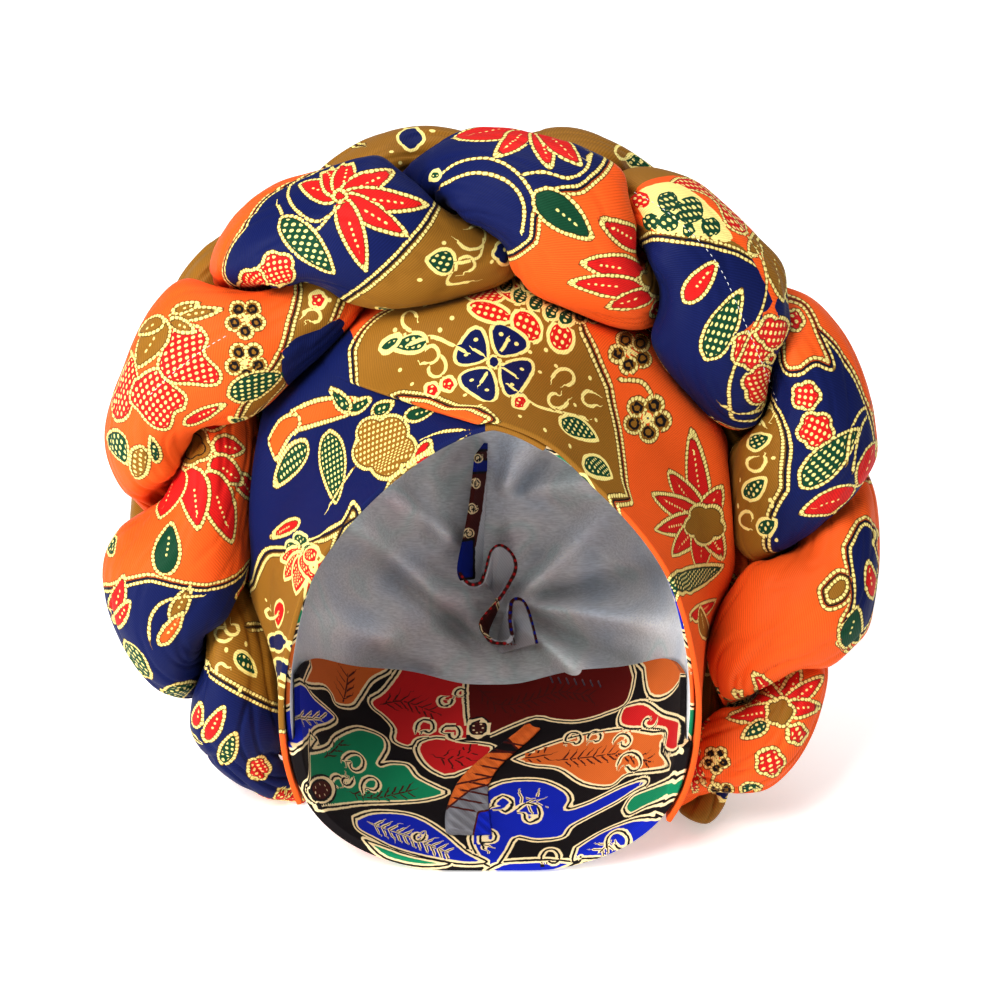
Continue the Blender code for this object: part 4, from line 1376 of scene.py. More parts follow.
def print_band_right(cloth):
    """The print of the band that goes over at the peak."""
    ochre_zone = ((538, 262), (562, 300), (584, 332), (609, 387), (618, 430), (630, 500), (560, 470),
                  (486, 424), (430, 398), (400, 395), (330, 335), (352, 300), (440, 268), (500, 255))
    wedge = ((296, 300), (330, 300), (366, 360), (410, 404), (350, 400), (270, 415), (262, 360))
    cloth.add(cloth.lay(wedge, (345, 372)), True, NAVY, "none")
    cloth.add(cloth.lay(ochre_zone, (500, 360)), True, OCHRE, "border")
    for centre, long_half, short_half, tilt in (((484, 293), 22, 10, 0.1), ((490, 312), 23, 10, 0.3),
                                                ((527, 326), 19, 13, 0.9), ((561, 337), 16, 13, 1.3),
                                                ((510, 290), 20, 9, 0.6)):
        round_petal(cloth, centre, long_half, short_half, tilt)
    for spot in ((520, 296), (536, 303), (552, 312), (506, 284), (530, 284), (566, 318)):
        cloth.draw(lobed_shape(spot, 9, 4, 0.1, 0.6), spot, True, GREEN, "solid", DOTTED)
    round_flower(cloth, (494, 362), 40, turn=-1.0)
    leaf(cloth, (428, 340), (390, 347), 20, "solid")
    leaf(cloth, (380, 352), (402, 334), 12, "solid")
    scroll(cloth, (430, 352), 9, 120, -300)
    scroll(cloth, (434, 368), 10, -60, 300)
    scroll(cloth, (412, 318), 9, 100, 280)
    stem(cloth, ((412, 343), (432, 337), (452, 345), (466, 352)))
    scroll(cloth, (566, 380), 10, -170, 300)
    scroll(cloth, (556, 398), 9, 20, 300)
    stem(cloth, ((510, 386), (535, 405), (560, 412), (585, 418)))
    leaf(cloth, (560, 418), (598, 440), 20, "solid")
    leaf(cloth, (584, 458), (612, 478), 20, "solid")
    scroll(cloth, (590, 396), 8, 60, 280)
    for centre in ((448, 384), (432, 390), (520, 402)):
        blossom(cloth, centre, 8, RED, "solid")
    dots(cloth, ((452, 318), (470, 308), (440, 330), (508, 340), (546, 350), (556, 366), (465, 395),
                 (480, 405), (540, 372), (575, 405), (596, 420), (520, 416), (545, 430), (570, 446),
                 (604, 500), (400, 370), (412, 384), (425, 306), (395, 330), (590, 378), (530, 352)))
    # outer, orange part
    small_flower(cloth, (586, 308), 17, turn=0.9)
    small_flower(cloth, (631, 352), 21, turn=0.5)
    small_flower(cloth, (647, 418), 23, turn=0.2)
    for tip in ((691, 428), (668, 470), (652, 494), (655, 530), (672, 556), (700, 575), (724, 560),
                (722, 486)):
        petal(cloth, (703, 520), tip, 22)
    blossom(cloth, (705, 524), 21, OCHRE, filled=PLAIN, turn=0.4)
    leaf(cloth, (664, 590), (724, 566), 24)
    petal(cloth, (690, 620), (716, 600), 13, RED)
    petal(cloth, (706, 640), (700, 606), 10, OCHRE)
    stem(cloth, ((620, 380), (642, 382), (652, 396)), "beads")
    petal(cloth, (676, 345), (700, 375), 13, RED)
    petal(cloth, (660, 330), (668, 360), 11, OCHRE)
    return plain_ground(ORANGE)


PEAK_TURN = 91.0             # past the peak the left band lies under the right one


def print_band_left(cloth):
    """The print of the band that goes under at the peak."""
    ground = band_ground(cloth, NAVY, (
        (((380, 502), (330, 533), (290, 550), (262, 560), (245, 640), (262, 740), (268, 840), (310, 840),
          (300, 740), (302, 650), (345, 560)), (284, 600), OCHRE, "border"),
    ))
    cloth.draw(curve(((290, 412), (318, 400), (352, 398), (366, 404), (350, 414), (318, 424), (290, 432)), 4),
               (325, 411), True, ORANGE, "beads")
    cloth.draw(curve(((268, 440), (280, 420), (296, 414), (300, 426), (288, 440), (276, 462)), 4),
               (285, 432), True, ORANGE, "beads")
    blossom(cloth, (384, 446), 33, OCHRE, turn=0.2)
    row_leaf(cloth, (348, 412), (372, 398), 12)
    leaf(cloth, (372, 414), (394, 402), 14)
    row_leaf(cloth, (404, 418), (436, 408), 14)
    leaf(cloth, (350, 412), (330, 388), 14)
    leaf(cloth, (330, 430), (336, 504), 26)
    leaf(cloth, (306, 440), (274, 488), 22)
    stem(cloth, ((352, 470), (340, 488), (330, 505)), "beads")
    stem(cloth, ((420, 440), (440, 432), (462, 430)), "beads")
    petal(cloth, (430, 440), (410, 474), 14)
    petal(cloth, (300, 520), (270, 538), 12)
    for centre, radius in (((300, 540), 8), ((292, 548), 8), ((310, 552), 9)):
        blossom(cloth, centre, radius, GREEN, "solid", lobes=3)
    for tip in ((280, 560), (284, 580), (296, 594), (312, 582), (322, 560)):
        cloth.draw(petal_shape((304, 552), tip, 17), between((304, 552), tip, 0.6, 0.6, 1)[0], True, RED,
                   "solid", DOTTED)
    petal(cloth, (280, 600), (278, 628), 10, RED, "solid")
    blossom(cloth, (277, 642), 10, NAVY, "solid", filled=PLAIN)
    blossom(cloth, (280, 668), 10, NAVY, "solid", filled=PLAIN, turn=0.6)
    scroll(cloth, (270, 612), 6, 0, 300)
    scroll(cloth, (282, 690), 6, 90, 300)
    dots(cloth, ((266, 600), (288, 612), (268, 652), (290, 655), (272, 684), (284, 706)))
    cloth.draw(((270, 730), (300, 730), (300, 840), (270, 840)), (288, 750), True, ORANGE, "beads")
    under = math.radians(PEAK_TURN) * CLOTH_RADIUS
    cloth.add([(-0.2, -0.02), (under, -0.02), (under, 0.12), (-0.2, 0.12)], True, OCHRE, "none")
    return ground


# Cells of the dark print as the picture shows them: colour and outline in pixels
BATIK_CELLS = (
    (ROYAL, ((286, 684), (303, 684), (313, 697), (330, 712), (335, 719), (327, 725), (315, 729), (304, 742),
             (286, 748))),
    (FLAME, ((290, 650), (332, 645), (358, 640), (400, 644), (390, 668), (371, 680), (360, 696), (352, 705),
             (337, 703), (332, 693), (325, 686), (306, 682))),
    (JADE, ((292, 750), (312, 752), (329, 748), (337, 738), (355, 730), (369, 732), (383, 739), (386, 750),
            (378, 765), (389, 763), (406, 765), (415, 776), (432, 785), (444, 792), (421, 799), (389, 801),
            (360, 802), (326, 806), (303, 805), (288, 790))),
    (DEEP_RED, ((408, 660), (421, 650), (447, 650), (466, 655), (468, 682), (463, 693), (464, 707),
                (467, 719), (461, 736), (421, 736), (412, 745), (395, 739), (395, 727), (386, 716),
                (375, 707), (373, 699), (386, 690))),
    (DEEP_RED, ((421, 742), (438, 738), (461, 742), (487, 745), (492, 750), (478, 765), (461, 771),
                (449, 776), (435, 771), (424, 762), (418, 750))),
    (DARK_RED, ((468, 655), (490, 655), (518, 655), (559, 655), (590, 655), (628, 655), (625, 699),
                (602, 713), (576, 720), (553, 719), (536, 716), (507, 727), (490, 734), (472, 728))),
    (FLAME, ((518, 759), (543, 748), (570, 739), (599, 733), (627, 730), (650, 733), (662, 733),
             (660, 748), (673, 759), (662, 768), (627, 773), (610, 785), (584, 782), (561, 768),
             (536, 765))),
    (DEEP_RED, ((625, 707), (645, 703), (662, 714), (679, 720), (682, 733), (675, 750), (664, 748),
                (664, 730), (627, 728), (620, 720))),
    (ROYAL, ((484, 794), (498, 785), (518, 781), (544, 782), (564, 791), (570, 800), (566, 809),
             (584, 804), (599, 797), (619, 787), (639, 780), (643, 785), (630, 792), (613, 803),
             (590, 815), (570, 826), (562, 836), (536, 839), (518, 836), (509, 850), (498, 864),
             (485, 859), (474, 837), (484, 819), (479, 805))),
    (JADE, ((625, 808), (633, 796), (650, 788), (684, 776), (684, 790), (668, 799), (647, 806),
            (630, 814))),
    (ROYAL, ((578, 847), (599, 834), (619, 825), (639, 819), (659, 820), (666, 832), (653, 844),
             (627, 853), (599, 859), (576, 862))),
    (ROYAL, ((357, 819), (375, 813), (404, 814), (425, 821), (446, 835), (465, 851), (484, 861),
             (461, 863), (432, 858), (398, 849), (375, 838), (360, 829))),
    (DEEP_RED, ((292, 818), (317, 826), (335, 835), (357, 845), (368, 853), (340, 851), (306, 838))),
    (JADE, ((366, 840), (386, 847), (409, 855), (448, 863), (421, 866), (386, 858))),
    (ROYAL, ((505, 862), (547, 860), (580, 864), (560, 872), (518, 875), (488, 872))),
    (FLAME, ((644, 662), (664, 646), (684, 640), (694, 650), (672, 690), (650, 694))),
    (BLACK, ((690, 700), (700, 700), (700, 740), (690, 740))),
)

# Twigs: the line of the stem; their side branches are laid by the code
TWIGS = (
    (ROYAL, ((287, 718), (303, 718), (321, 719))),
    (FLAME, ((343, 702), (346, 690), (348, 676))),
    (JADE, ((325, 757), (335, 749), (343, 740))),
    (DEEP_RED, ((383, 704), (400, 701), (418, 706), (436, 713))),
    (JADE, ((352, 793), (372, 798), (396, 794), (412, 790))),
    (DEEP_RED, ((438, 757), (455, 760), (470, 752))),
    (FLAME, ((560, 760), (590, 757), (620, 754), (650, 762))),
    (FLAME, ((524, 758), (536, 757), (548, 754))),
    (ROYAL, ((372, 824), (396, 832), (424, 843), (446, 852))),
    (ROYAL, ((610, 842), (600, 852))),
    (DARK_RED, ((480, 690), (500, 705), (530, 700), (560, 692), (590, 696))),
    (ROYAL, ((520, 795), (528, 803), (540, 800))),
)

# Scrolls: middle, radius, where it starts, how far it turns
SCROLLS = (
    ((355, 764), 9, 200, 420), ((336, 782), 6, 20, -300), ((372, 786), 8, 150, 400), ((346, 780), 5, 0, 300),
    ((427, 728), 8, 170, 380), ((452, 734), 8, 200, 400), ((444, 700), 6, 0, 300), ((462, 694), 5, 180, 300),
    ((505, 806), 9, 180, 400), ((530, 815), 10, 200, 420), ((490, 838), 8, 120, 400), ((620, 842), 10, 160,
                                                                                       420),
    ((552, 858), 8, 170, 400), ((632, 764), 10, 180, 400), ((624, 742), 7, 190, 380), ((575, 740), 7, 180,
                                                                                       340),
    ((478, 728), 6, 20, 320), ((596, 738), 6, 180, 320), ((648, 722), 6, 0, 320), ((418, 836), 5, 0, 300),
)


CELL_GROWTH = 1.05          # each cell reaches a little past its read outline


def twig(cloth, pixels, style):
    """A stem with short branches on both sides."""
    line = np.array(curve(pixels, 8))
    middle = tuple(line[len(line) // 2])
    cloth.draw(line, middle, False, None, style)
    run = np.concatenate([[0.0], np.cumsum(np.hypot(*np.diff(line, axis=0).T))])
    for at in np.arange(3.0, run[-1], 7.5):
        here = np.array([np.interp(at, run, line[:, 0]), np.interp(at, run, line[:, 1])])
        ahead = np.array([np.interp(at + 1.0, run, line[:, 0]), np.interp(at + 1.0, run, line[:, 1])])
        step = (ahead - here) / max(np.hypot(*(ahead - here)), 1e-6)
        for side in (-1.0, 1.0):
            tip = here + 6.0 * step + side * 6.0 * np.array([-step[1], step[0]])
            cloth.draw([tuple(here), tuple(tip)], tuple(here), False, None, style)


def print_facing(cloth):
    """Cells, twigs and scrolls of the dark print."""
    for colour, outline in BATIK_CELLS:
        outline = np.array(outline, dtype=float)
        middle = tuple(outline.mean(axis=0))
        outline = middle + (outline - middle) * CELL_GROWTH
        cloth.draw(curve([*outline, outline[0]], 4)[:-1], middle, True, colour, "outline")
    for colour, pixels in TWIGS:
        twig(cloth, pixels, "cream twig" if colour is ROYAL else "twig")
    for middle, radius, start, sweep in SCROLLS:
        scroll(cloth, middle, radius, start, sweep, "outline")
    for middle, radius in (((321, 790), 15), ((478, 728), 12)):
        cloth.draw(lobed_shape(middle, radius, 3, 0.0), middle, True, IVORY, "ring")
        cloth.draw(lobed_shape(middle, 0.68 * radius, 3, 0.0), middle, True, BROWN, "ring")
        for k in range(7):
            dot(cloth, on_ring(middle, 0.40 * radius, 0.9 * k), SMALL_SPOT_RADIUS)
    return plain_ground(BLACK)


CELL_STEP = 0.040
ROW_STEP = 0.030
CELL_RADIUS = 0.022
CELL_SCROLL = 0.006         # radius of the scroll in a cell
FIRST_ROW = 0.012           # behind the opening's edge


def print_crown(cloth):
    """Cells of the dark print in staggered rows, with a scroll in each, on the crown's outer side."""
    colours = (ROYAL, DEEP_RED, JADE, FLAME)
    low, high = cloth.s.min(), cloth.s.max()
    for row, w in enumerate(np.arange(FIRST_ROW, cloth.w.max(), ROW_STEP)):
        for k, s in enumerate(np.arange(low + (row % 2) * CELL_STEP / 2, high + CELL_STEP, CELL_STEP)):
            middle = np.array([s, w])
            colour = colours[(k + 2 * row) % 4]
            shape = lobed_shape((0.0, 0.0), CELL_RADIUS, 4, 0.38, 0.2 * (k % 3), 0.74)
            cloth.add(middle + np.array(shape), True, colour, "outline")
            line = spiral((0.0, 0.0), CELL_SCROLL, 90.0 * k, 400.0)
            cloth.add(middle + np.array(line), False, None, "outline")
    return plain_ground(BLACK)


def seen(pixels):
    """Places on the cloth of a small crumpled piece, from pixels."""
    return np.array(pixels, dtype=float) / PIXELS_PER_METRE


# The raw seam allowance: its printed strip and the thin printed line along its edge, in pixels
FRILL_STRIP = ((472, 436), (486, 436), (486, 470), (481, 512), (475, 545), (467, 576), (457, 574), (455, 556),
               (462, 525), (468, 490), (472, 458))
FRILL_SCROLLS = (((478, 458), 4, 0, 420), ((476, 484), 5, 180, 420), ((472, 508), 5, 20, 420),
                 ((469, 534), 5, 180, 420))
FRILL_EDGE = ((460, 574), (470, 584), (481, 582), (486, 567), (491, 550), (501, 545), (512, 553), (516, 567),
              (510, 582), (500, 598), (490, 609), (481, 619), (480, 630), (492, 642), (505, 644))
FRILL_TAIL = ((512, 634), (510, 618), (512, 601), (518, 598), (526, 603), (533, 624), (537, 642))
FRILL_PATCH = ((478, 622), (486, 610), (496, 600), (500, 612), (496, 630), (490, 638), (482, 634))


def print_frill(cloth):
    """The printed strip of the seam allowance and the line along its edge."""
    cloth.add(seen(FRILL_STRIP), True, BROWN, "twig")
    for low, high, right in ((440, 450, 490), (462, 472, 490), (542, 578, 474)):
        cloth.add(seen(((454, low), (right, low - 3), (right, high), (454, high + 2))), True, BLUE_SHADE,
                  "ring")
    for middle, radius, start, sweep in FRILL_SCROLLS:
        cloth.add(seen(spiral(middle, radius, start, sweep)), False, None, "cream twig")
    cloth.add(seen(FRILL_PATCH), True, BROWN, "cream twig")
    cloth.add(seen(curve(FRILL_EDGE)), False, None, "red edge")
    cloth.add(seen(curve(FRILL_TAIL)), False, None, "blue edge")
    return plain_ground(WRONG_SIDE)


GATHER_TOP = (545, 725)
GATHER_ALONG = np.array([-0.60, 0.80])
RIB_PITCH = 8.0             # pixels
RIB_HEIGHT = 0.0005


def print_gather(cloth):
    """What the crimps of the casing show of the dark print."""
    for colour, box in ((FLAME, ((500, 730), (560, 715), (560, 745), (520, 752))),
                        (FLAME, ((455, 752), (530, 752), (520, 780), (440, 800))),
                        (FLAME, ((430, 790), (500, 775), (470, 800), (430, 812))),
                        (GREY_SHADE, ((470, 790), (520, 775), (520, 850), (430, 850), (430, 822))),
                        (ROYAL, ((478, 812), (510, 806), (510, 850), (470, 850)))):
        cloth.add(seen(box), True, colour, "twig")
    for k in range(9):
        low = (448 + 7 * k, 806 - 8 * k)
        cloth.add(seen((low, (low[0] + 26, low[1] + 5))), False, None, "twig")
    return plain_ground(BLACK)


# ---------------------------------------------------------------- materials

SOFT_EDGE = 0.00012         # half the blur of a printed edge
NO_LINE = 0.00001           # a half width below this is no line at all
NO_BEADS = 0.0001           # a pitch below this is no row of beads
RIM_START = 0.00010         # the dark rim of a beaded line, past its half width
RIM_END = 0.00034
FILLING_CLEAR = 0.00055     # how far a motif's filling dots keep from its line


class Wiring:
    """Short ways to add and link nodes of one tree."""

    def __init__(self, tree):
        self.tree = tree

    def node(self, kind, **settings):
        """A new node with its settings."""
        node = self.tree.nodes.new(kind)
        for key, value in settings.items():
            setattr(node, key, value)
        return node

    def feed(self, socket, value):
        """Gives an input a value, or a link from an output."""
        if isinstance(value, bpy.types.NodeSocket):
            self.tree.links.new(value, socket)
        elif value is not None:
            socket.default_value = value

    def fill(self, node, inputs):
        """Feeds several inputs of a node."""
        for key, value in inputs.items():
            self.feed(node.inputs[key], value)

    def made(self, kind, inputs, output=0, **settings):
        """An output of a new node with its inputs fed."""
        node = self.node(kind, **settings)
        self.fill(node, inputs)
        return node.outputs[output]

    def math(self, operation, a, b=None):
        return self.made("ShaderNodeMath", {0: a, 1: b}, operation=operation)

    def add(self, a, b):
        return self.math("ADD", a, b)

    def less(self, a, b):
        return self.math("SUBTRACT", a, b)

    def times(self, a, b):
        return self.math("MULTIPLY", a, b)

    def above(self, a, b):
        return self.math("GREATER_THAN", a, b)

    def vector(self, operation, a, b=None):
        return self.made("ShaderNodeVectorMath", {0: a, 1: b}, operation=operation)

    def length(self, a):
        return self.made("ShaderNodeVectorMath", {0: a}, "Value", operation="LENGTH")

    def split(self, vector):
        """The X, Y and Z of a vector."""
        node = self.node("ShaderNodeSeparateXYZ")
        self.feed(node.inputs[0], vector)
        return node.outputs

    def step(self, value, low, high):
        """1 below low, 0 above high, with a soft step between."""
        return self.made("ShaderNodeMapRange", {"Value": value, "From Min": low, "From Max": high,
                                                "To Min": 1.0, "To Max": 0.0},
                         "Result", interpolation_type="SMOOTHSTEP")

    def within(self, value, edge):
        """1 where a value is below an edge, with a blurred edge."""
        return self.step(value, self.less(edge, SOFT_EDGE), self.add(edge, SOFT_EDGE))

    def mix(self, factor, a, b):
        """A colour between two others."""
        return self.made("ShaderNodeMix", {0: factor, 6: a, 7: b}, 2, data_type="RGBA")

    def shaded(self, colour, share):
        """A colour multiplied by a number."""
        grey = self.made("ShaderNodeCombineColor", {0: share, 1: share, 2: share})
        return self.made("ShaderNodeMix", {0: 1.0, 6: colour, 7: grey}, 2,
                         data_type="RGBA", blend_type="MULTIPLY")

    def noise(self, place, scale, detail, output="Fac"):
        return self.made("ShaderNodeTexNoise", {"Vector": place, "Scale": scale, "Detail": detail}, output)

    def attribute(self, name):
        return self.node("ShaderNodeAttribute", attribute_name=name).outputs

    def bump(self, height, strength, distance):
        return self.made("ShaderNodeBump", {"Height": height, "Strength": strength, "Distance": distance})

    def group(self, tree, inputs):
        node = self.node("ShaderNodeGroup", node_tree=tree)
        self.fill(node, inputs)
        return node.outputs


def new_group(name, inputs, outputs):
    """A shared node group. An input has its first value, or None if it is a vector."""
    group = bpy.data.node_groups.new(name, "ShaderNodeTree")
    for label, value in inputs.items():
        kind = "NodeSocketVector" if value is None else "NodeSocketFloat"
        socket = group.interface.new_socket(name=label, in_out="INPUT", socket_type=kind)
        if value is not None:
            socket.default_value = value
    for label in outputs:
        group.interface.new_socket(name=label, in_out="OUTPUT", socket_type="NodeSocketFloat")
    given = group.nodes.new("NodeGroupInput").outputs
    return Wiring(group), given, group.nodes.new("NodeGroupOutput")


def line_group():
    """Masks of a printed line: the cream of its beads, the whole line, its dark core and its dark rim."""
    w, given, result = new_group(
        "printed line",
        {"Distance": 0.0, "Along": 0.0, "Half Width": 0.0, "Pitch": 0.0, "Offset": 0.0, "Core": 0.0,
         "Loose": 0.0},
        ("Beads", "Line", "Core", "Rim"))
    half = given["Half Width"]
    away = w.math("ABSOLUTE", given["Distance"])
    double = w.math("ABSOLUTE", w.less(away, given["Offset"]))
    line = w.times(w.within(double, half), w.above(half, NO_LINE))
    beaded = w.above(given["Pitch"], NO_BEADS)
    rim = w.times(w.step(double, w.add(half, RIM_START), w.add(half, RIM_END)), beaded)
    pitch = w.math("MAXIMUM", given["Pitch"], 2.0 * NO_BEADS)
    turn = w.math("FRACT", w.math("DIVIDE", given["Along"], pitch))
    along = w.times(w.math("ABSOLUTE", w.less(turn, 0.5)), pitch)
    round_bead = w.math("SQRT", w.add(w.math("POWER", along, 2.0), w.math("POWER", double, 2.0)))
    square = w.math("MAXIMUM", w.times(along, 0.98), w.times(double, 0.92))
    size = w.add(w.times(round_bead, 0.80), w.times(square, 0.20))
    bead_half = w.times(half, 0.96)
    bead = w.step(size, w.less(bead_half, SOFT_EDGE * 1.4), w.add(bead_half, SOFT_EDGE * 1.2))
    bead = w.times(w.add(w.times(bead, beaded), w.less(1.0, beaded)), line)
    keep = w.less(1.0, given["Loose"])
    line = w.add(w.times(line, keep), w.times(bead, given["Loose"]))
    core = w.times(w.within(away, given["Core"]), w.above(given["Core"], NO_LINE))
    w.fill(result, {"Beads": bead, "Line": line, "Core": core, "Rim": w.times(rim, keep)})
    return w.tree


def dots_group():
    """Mask of the dots that fill leaves and blossoms."""
    w, given, result = new_group(
        "filling dots", {"Place": None, "Pitch": 0.0029, "Radius": 0.00058}, ("Dots",))
    turned_place = w.made("ShaderNodeVectorRotate", {"Vector": given["Place"], "Angle": 0.5},
                          rotation_type="Z_AXIS")
    scaled = w.made("ShaderNodeVectorMath",
                    {0: turned_place, "Scale": w.math("DIVIDE", 1.0, given["Pitch"])}, operation="SCALE")
    gaps = []
    for shift in (0.0, 0.5):
        part = w.vector("FRACTION", w.vector("ADD", scaled, (shift, shift, 0.0)))
        gaps.append(w.times(w.length(w.vector("SUBTRACT", part, (0.5, 0.5, 0.0))), given["Pitch"]))
    w.fill(result, {"Dots": w.within(w.math("MINIMUM", *gaps), given["Radius"])})
    return w.tree


def twill_group():
    """Height of a fine twill and a slight mottle of its dye."""
    w, given, result = new_group("twill weave", {"Place": None, "Rib": 0.00075}, ("Height", "Mottle"))
    place = w.split(given["Place"])
    slant = w.add(place["X"], w.times(place["Y"], 0.45))
    phase = w.times(w.math("DIVIDE", slant, given["Rib"]), 2.0 * math.pi)
    ribs = w.add(w.times(w.math("SINE", phase), 0.5), 0.5)
    threads = w.noise(given["Place"], 2600.0, 1.0)
    cloudy = w.noise(given["Place"], 55.0, 2.0)
    height = w.add(w.times(ribs, 0.7), w.times(threads, 0.3))
    mottle = w.add(w.add(w.times(cloudy, 0.16), w.times(height, 0.34)), 0.74)
    w.fill(result, {"Height": height, "Mottle": mottle})
    return w.tree


def wobble_group():
    """A slight unevenness for drawn lines."""
    w, given, result = new_group("hand drawn", {"Place": None, "Amount": 0.00022}, ("Across", "Along"))
    split = w.node("ShaderNodeSeparateColor")
    w.feed(split.inputs[0], w.noise(given["Place"], 520.0, 1.0, "Color"))
    for channel, name in (("Red", "Across"), ("Green", "Along")):
        value = w.times(w.less(split.outputs[channel], 0.5), given["Amount"])
        w.feed(result.inputs[name], w.times(value, 2.0))
    return w.tree


LINE_GROUP = line_group()
DOTS_GROUP = dots_group()
TWILL_GROUP = twill_group()
WOBBLE_GROUP = wobble_group()


def fresh_material(name):
    """A new material, the wiring of its tree and its shader."""
    material = bpy.data.materials.new(name)
    material.use_nodes = True
    return material, Wiring(material.node_tree), material.node_tree.nodes["Principled BSDF"]


def print_material(name, dot_colour, roughness, rib):
    """Printed cotton, drawn from the attributes that write_print puts on the mesh."""
    material, w, shader = fresh_material(name)
    cloth_place = w.attribute("cloth_place")["Vector"]
    line_place = w.split(w.attribute("line_place")["Vector"])
    shape = w.split(w.attribute("line_shape")["Vector"])
    core = w.split(w.attribute("line_core")["Vector"])
    wobble = w.group(WOBBLE_GROUP, {"Place": cloth_place})
    distance = w.add(line_place["X"], wobble["Across"])
    along = w.add(line_place["Y"], wobble["Along"])
    line = w.group(LINE_GROUP, {"Distance": distance, "Along": along, "Half Width": shape["X"],
                                "Pitch": shape["Y"], "Offset": shape["Z"], "Core": core["X"],
                                "Loose": core["Y"]})
    dots = w.group(DOTS_GROUP, {"Place": cloth_place})
    twill = w.group(TWILL_GROUP, {"Place": cloth_place, "Rib": rib})
    inner = w.attribute("inner_colour")
    outer = w.attribute("outer_colour")
    outside = w.above(distance, 0.0)
    filled = w.add(w.times(inner["Alpha"], w.less(1.0, outside)), w.times(outer["Alpha"], outside))
    clear = w.above(w.math("ABSOLUTE", distance), w.add(shape["X"], FILLING_CLEAR))
    colour = w.mix(outside, inner["Color"], outer["Color"])
    colour = w.mix(w.times(w.times(filled, clear), dots["Dots"]), colour, (*dot_colour, 1.0))
    bead = w.mix(line["Beads"], w.attribute("gap_colour")["Color"], w.attribute("line_colour")["Color"])
    colour = w.mix(w.times(line["Rim"], 0.75), colour, (*BLACK, 1.0))
    colour = w.mix(line["Line"], colour, bead)
    colour = w.mix(line["Core"], colour, (*BLACK, 1.0))
    spot = w.attribute("spot_place")["Vector"]
    radius = w.split(spot)["Z"]
    flat = w.vector("MULTIPLY", w.vector("SUBTRACT", cloth_place, spot), (1.0, 1.0, 0.0))
    spotted = w.times(w.within(w.length(flat), radius), w.above(radius, NO_LINE))
    colour = w.mix(spotted, colour, (*dot_colour, 1.0))
    w.fill(shader, {"Base Color": w.shaded(colour, twill["Mottle"]), "Roughness": roughness,
                    "Sheen Weight": 0.015, "Sheen Roughness": 0.4, "Specular IOR Level": 0.08,
                    "Normal": w.bump(twill["Height"], 0.6, 0.00012)})
    return material


# Tints that shine through the wrong side of the cloth
LINING_TINTS = ((0.30, (0.58, 0.64, 0.72, 1.0)), (0.42, (0.72, 0.74, 0.78, 1.0)),
                (0.51, (0.78, 0.78, 0.79, 1.0)), (0.57, (0.68, 0.75, 0.75, 1.0)),
                (0.62, (0.78, 0.78, 0.79, 1.0)), (0.72, (0.76, 0.68, 0.71, 1.0)))


def lining_material():
    """Wrong side of the cap's printed cotton: grey-white, with its print faintly through it, and painted
    shade in its fold valleys and painted light on its ridges.
    """
    material, w, shader = fresh_material("lining")
    place = w.node("ShaderNodeTexCoord").outputs["Object"]
    tint = w.node("ShaderNodeValToRGB")
    stops = tint.color_ramp.elements
    stops[0].position, stops[0].color = LINING_TINTS[0]
    stops[1].position, stops[1].color = LINING_TINTS[-1]
    for position, colour in LINING_TINTS[1:-1]:
        stops.new(position).color = colour
    w.feed(tint.inputs[0], w.noise(place, 34.0, 1.5))
    stretched = w.made("ShaderNodeMapping", {"Vector": place, "Scale": (260.0, 1400.0, 1400.0)})
    streaks = w.noise(stretched, 1.0, 3.0)
    lighter = w.made("ShaderNodeMapRange", {"Value": streaks, "From Min": 0.3, "From Max": 0.7,
                                            "To Min": 0.86, "To Max": 1.14})
    # Painted shade in the fold valleys and painted light on the ridges, from how far each point stands out.
    painted_shade = w.made("ShaderNodeMapRange", {"Value": w.attribute("painted_shade_share")["Fac"], "To Min": 0.60,
                                         "To Max": 1.24})
    w.fill(shader, {"Base Color": w.shaded(tint.outputs[0], w.times(lighter, painted_shade)), "Roughness": 0.85,
                    "Sheen Weight": 0.3, "Normal": w.bump(streaks, 0.4, 0.0002)})
    return material


def thread_material(name, colour):
    """Sewing thread."""
    material, w, shader = fresh_material(name)
    twist = w.noise(w.node("ShaderNodeTexCoord").outputs["Object"], 1800.0, 2.0)
    dark = tuple(0.7 * c for c in colour)
    w.fill(shader, {"Base Color": w.mix(twist, (*dark, 1.0), (*colour, 1.0)), "Roughness": 0.6,
                    "Sheen Weight": 0.3})
    return material


BRIGHT_PRINT = print_material("bright print", CREAM, 0.48, 0.00075)
DARK_PRINT = print_material("dark print", IVORY, 0.70, 0.00060)
LINING = lining_material()
WHITE_THREAD = thread_material("white thread", (0.80, 0.80, 0.78))
DARK_THREAD = thread_material("dark thread", (0.05, 0.03, 0.06))


# ---------------------------------------------------------------- the pieces put together


LINING_SLOT = 1


def finish_piece(piece, materials, nodes):
    """Smooth shading, materials and body of a piece, and hides the CAD nodes that it stands for."""
    piece.data.shade_smooth()
    piece.data.materials.clear()
    for material in materials:
        piece.data.materials.append(material)
    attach(piece, "root")
    if nodes:
        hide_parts(*nodes)


def build_strand(name, seed, print_of):
    """A strand of the plait with its print, as a padded piece."""
    cloth = strand_cloth(name, seed)
    ground = print_of(cloth)
    hidden_motifs(cloth, ground, seed)
    printed = print_cloth(cloth, ground)
    points = np.vstack([cloth.points, cloth.tips])
    faces = cloth.quads.tolist() + cloth.tip_faces
    mesh = bpy.data.meshes.new(name)
    mesh.from_pydata(points.tolist(), [], faces)
    write_print(mesh, cloth, printed, 3 * len(cloth.tip_faces), len(cloth.tip_faces))
    piece = bpy.data.objects.new(f"{name}_cloth", mesh)
    bpy.context.scene.collection.objects.link(piece)
    finish_piece(piece, [BRIGHT_PRINT], [name])
    return cloth, piece


def lay_print(name, piece, cloth, print_of, material):
    """Prints a piece and finishes it."""
    write_print(piece.data, cloth, print_cloth(cloth, print_of(cloth)))
    finish_piece(piece, [material], [name])
    return cloth, piece


